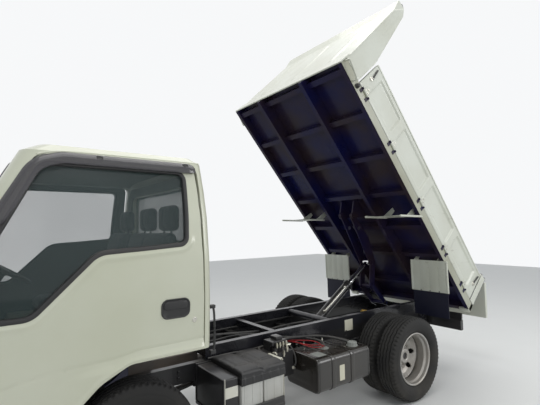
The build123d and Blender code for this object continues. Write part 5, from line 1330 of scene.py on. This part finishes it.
def addPlumbing():
    # hoses held at both ends, in clips along the rail: points are reach, y and height
    runs = [  # radius, finish, points
        (11.0, 0, [(1265, 560, 590), (1250, 520, 640), (1190, 440, 655), (1060, 410, 640), (930, 430, 630),
                   (820, 470, 625), (760, 560, 622), (720, 640, 612), (690, 668, 598), (684, 676, 588)]),
        (9.0, 0, [(1300, 470, 600), (1285, 440, 650), (1200, 400, 668), (1080, 380, 640), (980, 380, 622),
                  (900, 470, 618), (880, 560, 612), (884, 596, 600), (890, 602, 584)]),
        (4.5, 1, [(906, 596, 584), (915, 560, 612), (960, 500, 618), (1020, 440, 616), (1060, 380, 612),
                  (1076, 352, 600)]),
        (4.5, 1, [(896, 612, 584), (930, 620, 606), (1000, 580, 600), (1050, 500, 612), (1080, 400, 612),
                  (1100, 352, 596)]),
        (7.0, 0, [(1076, 362, 596), (1200, 358, 604), (1400, 360, 606), (1560, 358, 604), (1700, 360, 602)]),
        (4.0, 1, [(912, 604, 584), (940, 650, 598), (1010, 620, 592), (1040, 540, 604), (1060, 440, 616),
                  (1090, 356, 610)]),
        (12.0, 0, [(1760, 330, 612), (1500, 326, 614), (1200, 330, 612), (900, 326, 614), (700, 330, 613),
                   (560, 320, 620), (470, 260, 640), (420, 140, 650)]),
        (9.0, 0, [(1760, 306, 609), (1480, 304, 611), (1180, 306, 609), (860, 302, 611), (640, 306, 610),
                  (540, 300, 616), (440, 240, 628), (390, 110, 640)]),
        (7.0, 0, [(1740, -300, 607), (1400, -296, 609), (1000, -302, 607), (700, -296, 609), (300, -300, 607),
                  (-120, -296, 609), (-400, -300, 612)]),
        (7.0, 0, [(1180, 560, 470), (1150, 576, 500), (1146, 520, 600), (1150, 420, 640), (1120, 372, 650)]),
        (10.0, 0, [(1300, 560, 560), (1330, 600, 566), (1370, 606, 560), (1395, 540, 580), (1400, 440, 600),
                   (1380, 380, 610), (1300, 362, 606), (1200, 358, 604)]),
        (7.0, 0, [(1340, 540, 600), (1370, 580, 610), (1405, 590, 590), (1410, 500, 600), (1440, 400, 612),
                  (1600, 372, 618), (1800, 366, 614)]),
        (9.0, 0, [(1700, -120, 640), (1500, -90, 636), (1300, 20, 640), (1100, 80, 632), (900, 60, 640),
                  (700, 40, 636), (520, 60, 630)]),
        (6.0, 0, [(1740, 60, 648), (1600, 100, 640), (1420, 60, 650), (1250, 120, 640), (1150, 210, 630),
                  (1100, 280, 616)]),
        (5.0, 0, [(1700, 20, 650), (1560, -40, 646), (1430, 20, 652), (1290, 60, 642), (1180, 150, 634)]),
        (12.0, 0, [(-40, 200, 640), (60, 206, 650), (180, 180, 640), (280, 120, 622), (360, 70, 612)]),
    ]
    pipes = [plumbing(points, radius, 70, 10) for radius, finish, points in runs]
    marks = [finish for radius, finish, points in runs]
    clips = []
    for reach in (620, 820, 1080, 1360, 1640):
        clips.append(brick((reach - 9, 292, 600), (reach + 9, 346, 604), 2, "x", 1.5))
        clips.append(plumbing([(reach, 346, 602), (reach, 344, 626), (reach, 324, 630), (reach, 296, 626),
                               (reach, 292, 602)], 3.0, 20, 8, (1, 0, 0)))
    clips.append(brick((266, 350.4, 562), (374, 352.4, 664), 2, "x", 1))
    marks += [3] * 10 + [4]
    joined = joinGrids("framePipes", pipes + clips,
                       ["hoseRubber", "redRubber", "zincPlate", "chassisBlack", "blankLabel"], marks)
    rideWith(joined, "chassis", "black_plastic")

    # crimped ends, banjo bolts, pump and valve block beside the rail
    unions, finish = [], []

    def union(reach, y, z, axis, scale=1.0, brass=False):
        profile = np.array([(-22, 0), (-22, 8), (-8, 8.6), (-7, 12), (5, 12), (6, 9), (14, 9), (15, 6.5),
                            (22, 6.5), (22, 0)]) * scale / 1000.0
        unions.append(turned(profile, spot(reach, y, z), axis, 14))
        finish.append(1 if brass else 0)

    for place in ((1265, 560, 590, "z"), (1300, 470, 604, "z"), (1180, 560, 470, "y"), (1300, 562, 560, "y"),
                  (1340, 545, 600, "y"), (1210, 540, 640, "x"), (1250, 580, 628, "z"), (420, 140, 650, "y"),
                  (390, 110, 640, "y"), (360, 70, 612, "y")):
        union(*place)
    for place in ((-60, 205, 668, "x"), (-110, 200, 655, "y"), (-20, 230, 650, "x")):
        union(*place, 1.3, True)
    for k in range(4):
        union(1222 + 30 * k, 536, 652, "z", 0.9)
    blocks = [brick((1205, 410, 648), (1345, 520, 676), 4, "z", 3),
              brick((1230, 420, 676), (1290, 500, 700), 4, "z", 3),
              brick((-140, 180, 604), (-20, 240, 642), 4, "z", 3)]
    fittings = joinGrids("pipeFittings", unions + blocks, ["zincPlate", "brassFitting", "chassisBlack"],
                         finish + [2] * 3)
    rideWith(fittings, "chassis", "cast_metal")

    # bright pipe along the cylinder's barrel, with a union at each end; it turns with the barrel
    line = [(330, 44, 690), (250, 46, 744), (170, 46, 797), (90, 45, 851), (20, 46, 898)]
    feed = [plumbing(line, 8.0, 60, 12)]
    feed += [brick((x - 14, 36, z - 14), (x + 14, 60, z + 14), 6, "y", 5) for x, z in ((330, 690), (20, 898))]
    rideWith(joinGrids("barrelPipe", feed, ["zincPlate"]), "hoist_barrel", "cast_metal")

    # stay rod on the back corner of the cab, between two rubber blocks
    stay = [plumbing([(1986, 792, 800), (1978, 796, 830), (1978, 796, 1040), (1986, 788, 1064)], 7.0, 40, 10),
            brick((1972, 776, 788), (2007, 804, 812), 4, "x", 3),
            brick((1972, 772, 1054), (2007, 800, 1074), 4, "x", 3)]
    rideWith(joinGrids("cabStayRod", stay, ["blackPlastic"]), "cab", "black_plastic")
    print("plumbing made")


def addUnderside():
    # U-bolts over each spring
    grids = []
    for axle, low in ((2430.0, 302.0), (0.0, 300.0)):
        for side in (1, -1):
            for d in (-44, 44):
                y0, y1, y = side * 294.0, side * 356.0, side * 325.0
                pts = [(axle + d, y0, low), (axle + d, y0, 420), (axle + d, y0, 446), (axle + d, y, 452),
                       (axle + d, y1, 446), (axle + d, y1, 420), (axle + d, y1, low)]
                grids.append(plumbing(pts, 6.5, 40, 8, (1, 0, 0)))
    rideWith(joinGrids("springBolts", grids, ["castIron"]), "chassis", "cast_metal")


addTank()
addBatteries()
addPlumbing()
addUnderside()


# cab: trim, seats, steering wheel, wheel-arch liners, drip rails, lamps, wipers and grille

inside = {
    "backTrim": 2053.0, "windowHalf": 540.0, "windowLow": 1440.0, "windowHigh": 1800.0, "archTop": 836.0,
    "archStep": 2490.0, "axleReach": 2430.0,
}


def addTrim():
    # headliner: a shallow dome under the roof, with a rolled front edge
    x = np.concatenate([np.linspace(2062, 2110, 5), np.linspace(2150, 2800, 26), [2830, 2842, 2846]])
    y = np.linspace(-1, 1, 45)
    gx, gy = np.meshgrid(x, y, indexing="ij")
    half = 610.0 - 14.0 * smooth((gx - 2780) / 70.0)
    fall = 22.0 * np.abs(gy) ** 5 + 10.0 * smooth((2110 - gx) / 60.0) + 16.0 * smooth((gx - 2820) / 26.0)
    rib = 2.5 * np.cos(gx / 45.0) * (np.abs(gy) < 0.85)
    under = spot(gx, gy * half, 1922.0 - fall + rib * 0.3)
    over = spot(gx, gy * half, 1927.0 - fall * 0.6)
    liner = joinGrids("headliner", [under, over], ["greyTrim"], wraps=(False, False), sharp=50)
    rideWith(liner, "cab", "dark_trim")

    # back wall panel round the rear window: both outlines cut by the same rays from the window's middle
    corners = [(735.0, 915), (740, 1420), (600, 1880), (-600, 1880), (-740, 1420), (-735, 915)]
    outer = evenPath(roundedPath(corners, [40, 120, 90, 90, 120, 40], 10), 260)
    i = inside
    w, low, high = i["windowHalf"] + 6, i["windowLow"] - 6, i["windowHigh"] + 6
    inner = evenPath(roundedPath([(w, low), (w, high), (-w, high), (-w, low)], 64, 10), 900)
    hole = cutByRays(outer, inner, (0.0, 1620.0))
    rows = []
    for t, out in ((0, -4), (0, 6), (0.05, 9), (0.12, 7), (0.5, 7), (0.8, 7), (0.97, 7), (1.0, 5), (1.0, 0),
                   (0.5, 0)):
        p = hole + (outer - hole) * t
        swage = 3.0 * np.cos(p[:, 0] / 60.0) * (p[:, 1] < 1380) * (0.1 < t < 0.9)
        rows.append(spot(i["backTrim"] + out + swage, p[:, 0], p[:, 1]))
    rideWith(gridPiece("backTrim", np.stack(rows), ["greyTrim"], True, sharp=40), "cab", "dark_trim")

    # rubber round the rear window and the windscreen, which leans back 0.5 mm for each mm up
    section = [(-13, 0), (-12, 4), (-4, 6), (6, 6), (13, 3), (14, 0)]
    w, low, high = i["windowHalf"], i["windowLow"], i["windowHigh"]
    rear = evenPath(roundedPath([(w, low), (w, high), (-w, high), (-w, low)], 60, 10), 220)
    screen = evenPath(roundedPath([(705.0, 1150), (605, 1862), (-605, 1862), (-705, 1150)], 70, 10), 260)
    rings = [beading(rear, section, lambda p, h: spot(2005 - h * 0.8, p[:, 0], p[:, 1])),
             beading(screen, section, lambda p, h: spot(3395 - 0.5 * (p[:, 1] - 1090) + h * 0.894, p[:, 0],
                                                        p[:, 1] + h * 0.447))]
    rideWith(joinGrids("glassGaskets", rings, ["blackPlastic"]), "cab", "black_plastic")


def addPad(name, low, high, crown, seams):
    # a cushion: crowned block, remeshed, puffed by cloth pressure, then its seams are drawn in by a formula
    grid = blockGrid(spot(*low), spot(*high), 0.045, "z", 5)
    pad = joinGrids(name, [grid], ["seatCloth"])
    remesh = pad.modifiers.new("remesh", "REMESH")
    remesh.mode, remesh.voxel_size = "VOXEL", 0.011
    bpy.context.view_layer.update()
    pad.data = bpy.data.meshes.new_from_object(pad.evaluated_get(bpy.context.evaluated_depsgraph_get()))
    pad.modifiers.clear()
    count = len(pad.data.vertices)
    rest = np.empty(count * 3, np.float32)
    pad.data.vertices.foreach_get("co", rest)
    rest = rest.reshape(-1, 3).astype(float)
    shape = rest.copy()
    cloth = pad.modifiers.new("cloth", "CLOTH")
    cloth.settings.quality = 4
    cloth.settings.use_pressure = True
    cloth.settings.uniform_pressure_force = 4.0
    cloth.settings.effector_weights.gravity = 0.0
    cloth.point_cache.frame_start, cloth.point_cache.frame_end = 1, 12
    for step in range(1, 13):
        bpy.context.scene.frame_set(step)
    done = pad.evaluated_get(bpy.context.evaluated_depsgraph_get()).to_mesh()
    puffed = np.empty(count * 3, np.float32)
    done.vertices.foreach_get("co", puffed)
    move = puffed.reshape(-1, 3) - rest
    far = np.linalg.norm(move, axis=1, keepdims=True)
    shape = rest + move * np.minimum(1.0, 0.009 / np.maximum(far, 1e-9))
    pad.modifiers.clear()
    bpy.context.scene.frame_set(1)
    mid, half = (rest.max(0) + rest.min(0)) / 2, (rest.max(0) - rest.min(0)) / 2
    u = (rest - mid) / half
    axis, lift = crown
    others = [k for k in range(3) if k != axis]
    dome = np.clip(1 - u[:, others[0]] ** 2, 0, 1) ** 0.5 * np.clip(1 - u[:, others[1]] ** 2, 0, 1) ** 0.5
    shape[:, axis] += lift * (dome - 0.6) * np.sign(u[:, axis]) * (np.abs(u[:, axis]) > 0.5)
    for k, at in seams:  # each seam is a 7 mm deep valley at a share of the pad's half size
        near = np.exp(-(((u[:, k] - at) * half[k]) / 0.007) ** 2) * (np.abs(u[:, axis]) > 0.6)
        shape[:, axis] -= 0.007 * near * np.sign(u[:, axis])
    pad.data.vertices.foreach_set("co", shape.astype(np.float32).ravel())
    pad.data.materials.clear()
    pad.data.materials.append(materials["seatCloth"])
    pad.data.polygons.foreach_set("use_smooth", np.ones(len(pad.data.polygons), bool))
    pad.data.update()
    return pad


def leanBack(pad, reach, height, angle):
    # turns a pad about the line across the seat through its foot
    points = np.empty(len(pad.data.vertices) * 3, np.float32)
    pad.data.vertices.foreach_get("co", points)
    points = points.reshape(-1, 3).astype(float)
    x, z = points[:, 0] - ahead(reach), points[:, 2] - height / 1000.0
    c, s = math.cos(angle), math.sin(angle)
    points[:, 0], points[:, 2] = ahead(reach) + c * x - s * z, height / 1000.0 + s * x + c * z
    pad.data.vertices.foreach_set("co", points.astype(np.float32).ravel())
    pad.data.update()


def addSeats():
    # driver's seat on the right, double seat on the left: base, cushion, back and headrests
    grids = []
    for word, across, width, heads in (("driver", -430.0, 480.0, 1), ("double", 270.0, 760.0, 2)):
        y0, y1 = across - width / 2 + 6, across + width / 2 - 6
        seams = [(1, -0.72), (1, 0.72)] if heads == 1 else [(1, -0.86), (1, 0.0), (1, 0.86)]
        cushion = addPad(word + "Cushion", (2335, y0, 948), (2792, y1, 1038), (2, 0.010),
                         seams + [(0, 0.35)])
        back = addPad(word + "Back", (2236, y0, 980), (2322, y1, 1520), (0, 0.010), seams + [(2, 0.2)])
        leanBack(back, 2260, 1000, 0.22)
        rideWith(cushion, "cab", "seat_cloth", *(["seats"] if word == "driver" else []))
        rideWith(back, "cab", "seat_cloth")
        grids.append(brick((2330, y0 + 12, 905.5), (2770, y1 - 12, 960), 12, "x", 5))
        for i in range(heads):
            place = across + (i - (heads - 1) / 2) * 380
            rest = addPad(f"{word}Headrest{i}", (2098, place - 122, 1518), (2162, place + 122, 1682),
                          (0, 0.006), [(1, 0.0)])
            rideWith(rest, "cab", "seat_cloth")
            for y in (place - 60, place + 60):
                posts = [(2142, y, 1470), (2136, y, 1500), (2130, y, 1560)]
                grids.append(plumbing(posts, 6.0, 10, 10, (0, 1, 0)))
    rideWith(joinGrids("seatBases", grids, ["darkTrim"]), "cab", "dark_trim")


def addSteeringWheel():
    # rim is a ring about the column; the three spokes dip to a padded hub
    up = np.array([-math.cos(math.radians(58)), 0.0, math.sin(math.radians(58))])
    centre = spot(3075, -400, 1120) + up * 0.175
    flat = np.array([0.0, 1.0, 0.0])
    third = np.cross(up, flat)
    t = np.linspace(0, 2 * math.pi, 72, endpoint=False)
    out = flat * np.cos(t)[:, None] + third * np.sin(t)[:, None]
    s = np.linspace(0, 2 * math.pi, 14, endpoint=False)
    rim = centre + out[:, None] * (0.190 + 0.0135 * np.cos(s))[None, :, None]
    rim = rim + up * (0.0135 * np.sin(s))[None, :, None]
    hub = [(0.0, -0.029), (0.040, -0.029), (0.046, -0.012), (0.052, 0.0), (0.047, 0.009), (0.030, 0.013),
           (0.0, 0.014)]
    hubGrid = np.stack([centre + out * r + up * h for r, h in hub])
    spokes = []
    for a in (0.0, 90.0, 180.0):
        way = flat * math.cos(math.radians(a)) + third * math.sin(math.radians(a))
        path = [centre + way * r + up * h
                for r, h in ((0.035, -0.004), (0.075, -0.012), (0.125, -0.012), (0.185, 0.0))]
        oval = circle(14) * (0.016, 0.006)
        spokes.append(closedEnds(carried(curveThrough(path, 20), oval, np.cross(up, way))))
    wheelSkin = joinGrids("steeringWheelSkin", [rim, hubGrid] + spokes, ["blackPlastic"],
                          wraps=[(True, True)] + [(False, True)] * 4)
    rideWith(wheelSkin, "steering_wheel", "black_plastic", "steering_wheel")


def addLiners():
    # dark liner under each wheel arch: flat over the back part, a step, then an arc round the tyre
    i = inside
    flat = i["archTop"] - 3
    path = [(2012.0, flat), (2200, flat), (2400, flat), (2484, flat)]
    start = math.acos((i["archStep"] - 4 - i["axleReach"]) / 426.0)
    path += [(i["axleReach"] + 426.0 * math.cos(a), 357.0 + 426.0 * math.sin(a))
             for a in np.linspace(start, 0.16, 34)]
    path = np.array(path)
    grids = []
    for side in (1, -1):
        rows = [spot(path[:, 0], side * y, path[:, 1] + lift)
                for y, lift in ((380, 0), (380, -3), (560, -3), (720, -3))]
        edge = onSide(path[:, 0], path[:, 1] - 3, -46.4, side)
        rim = path + np.stack([smooth((path[:, 0] - 2490) / 60.0) * 26, np.full(len(path), 34.0)], -1)
        rows += [edge, onSide(*rim.T, -46.4, side), onSide(*rim.T, -47.2, side),
                 onSide(path[:, 0], path[:, 1] + 1, -47.2, side)]
        grids.append(np.stack(rows))
        # rubber corner where the arc meets the flat part, shrinking forward along the arc
        x = np.linspace(2488.0, 2600.0, 24)
        low = 357.0 + np.sqrt(430.0 ** 2 - (x - i["axleReach"]) ** 2)
        high = low + (834.0 - (x - 2480.0) * 0.4966 - low) * (1 - smooth((x - 2488.0) / 112.0)) + 2.0
        grids.append(np.stack([onSide(x, z, out, side) for z, out in
                               ((low - 1, -47.0), (low - 1, 0.4), (low, 1.2), (high, 1.2), (high, 0.2))]))
    wraps = [(True, False), (False, False)] * 2
    liners = joinGrids("archLiners", grids, ["flapRubber"], wraps=wraps, sharp=40)
    rideWith(liners, "cab", "dark_trim")


def addRoofEdges():
    # drip rail along each eave and down round the windscreen's upper corner
    grids = []
    for side in (1, -1):
        path = [(2030, 1934), (2120, 1936), (2400, 1936), (2700, 1936), (2840, 1930), (2905, 1905)]
        path = np.stack([onSide(x, z, -2.5, side) for x, z in path])
        grids.append(pipeGrid(path, 0.0062, 70, 10))
    rideWith(joinGrids("dripRails", grids, ["creamPaint"]), "cab", "body_paint")


def addFront():
    # headlamps: housing, two bowls with a bulb each, amber corner and a bowed lens over all
    shells, lenses, ambers = [], [], []
    for side in (1, -1):
        middle = side * 578.0
        shells.append(brick((3485.6, middle - 120, 718), (3493, middle + 120, 882), 30, "x", 3))
        for y, r in ((middle - side * 62, 46), (middle + side * 22, 52)):
            bowl = [(3492, r), (3516, r), (3517, r - 3), (3500, r * 0.8), (3494, r * 0.45), (3493, 9),
                    (3509, 8), (3513, 5), (3514, 0)]
            bowl = [(ahead(a), b / 1000.0) for a, b in bowl]
            shells.append(turned(bowl, (0, y / 1000.0, 0.800), "x", 40))
        corner = middle + side * 98
        ambers.append(brick((3493, corner - 16, 730), (3512, corner + 16, 870), 12, "x", 4))
        u = np.linspace(-1, 1, 24)
        gy, gz = np.meshgrid(u, u, indexing="ij")
        droop = np.clip((np.abs(gy) ** 6 + np.abs(gz) ** 6), 0, 1)
        squeeze = 1 - 0.06 * np.abs(gy * gz) ** 3
        lens = spot(3519.0 - 14.0 * droop, middle + gy * 122 * squeeze, 800 + gz * 84 * squeeze)
        lenses += [lens, lens - (0.0022, 0, 0)]
    housings = joinGrids("headlampHousings", shells + ambers, ["silverPaint", "rodChrome", "amberLens"],
                         [0, 1, 1] * 2 + [2, 2])
    rideWith(housings, "cab", "silver_paint", "headlamps")
    rideWith(joinGrids("headlampLenses", lenses, ["clearLens"], wraps=(False, False)), "cab", "lamp_lens")

    # grille bars with rounded noses, a fine mesh behind them, and two parked wipers
    grids, marks = [], []
    for z in (764, 800, 836):
        grids.append(brick((3492, -408, z - 7), (3517, 408, z + 7), 6, "y", 4))
        marks.append(0)
    for y in range(-390, 400, 26):
        grids.append(brick((3491, y - 2, 742), (3496, y + 2, 858), 1.8, "z", 1))
        marks.append(1)
    for foot, tip in ((-120.0, -560.0), (420.0, -60.0)):
        half = (foot + tip) / 2
        arm = [(3398, foot, 1112), (3392, foot - 20, 1128), (3376, half, 1158), (3369, tip + 180, 1170)]
        grids.append(plumbing(arm, 5.0, 30, 8))
        blade = [(3376, foot - 150, 1158), (3369, half - 60, 1168), (3365, tip + 40, 1176)]
        blade = curveThrough([spot(*p) for p in blade], 30)
        grids.append(closedEnds(carried(blade, circle(8) * (0.009, 0.0035), (0.894, 0, 0.447))))
        grids.append(standing([(1096, 0), (1096, 14), (1116, 13), (1120, 0)], 3397, foot, 16))
        marks += [1] * 3
    wipers = joinGrids("grilleAndWipers", grids, ["darkTrim", "blackPlastic"], marks)
    rideWith(wipers, "cab", "black_plastic")

    # bumper: pressed air slots, two fog lamps and a blank number plate
    grids = [brick((3566, y - 95, 352), (3571.5, y + 95, 372), 8, "x", 2) for y in (-240.0, 0.0, 240.0)]
    grids.append(brick((3568, -165, 384), (3575, 165, 440), 4, "x", 2))
    lamp = [(3560, 0.034), (3574, 0.034), (3577, 0.030), (3579, 0.016), (3580, 0.0)]
    lamp = [(ahead(a), b) for a, b in lamp]
    grids += [turned(lamp, (0, side * 0.48, 0.386), "x", 28) for side in (1, -1)]
    bumper = joinGrids("bumperTrim", grids, ["blackPlastic", "blankLabel", "clearLens"], [0, 0, 0, 1, 2, 2])
    rideWith(bumper, "chassis", "black_plastic")


def addRearLamps():
    # each lamp: black tray and three lenses, red, amber and clear
    grids, marks = [], []
    low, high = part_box("rear_lamps")
    face, back = (low[0] - ahead(0)) * 1000, (high[0] - ahead(0)) * 1000
    for side in (1, -1):
        y0 = 640.0 * side
        grids.append(brick((back - 14, y0 - 100, 537), (back, y0 + 100, 597), 8, "x", 4, 2))
        marks.append(0)
        for k, (mark, wide) in enumerate(((1, 84), (2, 50), (3, 46))):
            start = y0 - side * 94 + side * sum((84, 50, 46)[:k]) + side * 2 * k
            a, b = sorted((start, start + side * wide))
            grids.append(brick((face, a, 542), (back - 12, b, 592), 7, "x", 4, 6))
            marks.append(mark)
    lamps = joinGrids("rearLampSet", grids, ["blackPlastic", "redLens", "amberLens", "clearLens"], marks)
    rideWith(lamps, "chassis", "red_lens", "rear_lamps")


def addBolts():
    # hexagon heads in pairs along both frame rails
    head = ((0, 350), (11, 350), (11, 356), (9.5, 358), (0, 358.4))
    grids = []
    for reach in range(-820, 3000, 236):
        for z in (520, 562):
            for side in (1, -1):
                place = lambda p, y: spot(reach + p[:, 0], side * y, z + p[:, 1])
                grids.append(raised(circle(6), head, place))
    rideWith(joinGrids("railBolts", grids, ["chassisBlack"]), "chassis", "chassis_paint")


addTrim()
addSeats()
addSteeringWheel()
addLiners()
addRoofEdges()
addFront()
addRearLamps()
addBolts()
print("cab made")


# floor

def addFloor():
    floor = putMesh("floor", np.array([[-14, -14, 0], [14, -14, 0], [14, 14, 0], [-14, 14, 0]], float),
                    np.array([[0, 1, 2, 3]]), [])
    pale = shot["floorColour"]
    material, tree, shader = simpleShader("studioFloor", pale, 0.45)
    place = tree.nodes.new("ShaderNodeTexCoord").outputs["Object"]
    grain = addGroup(tree, "grain", {"Position": place}, Scale=30.0)
    shade = blendColour(tree, grain.outputs["Cloud"], pale, tuple(0.96 * c for c in pale))
    tree.links.new(shade, shader.inputs["Base Color"])
    floor.data.materials.append(material)


addFloor()
print("pieces ready")
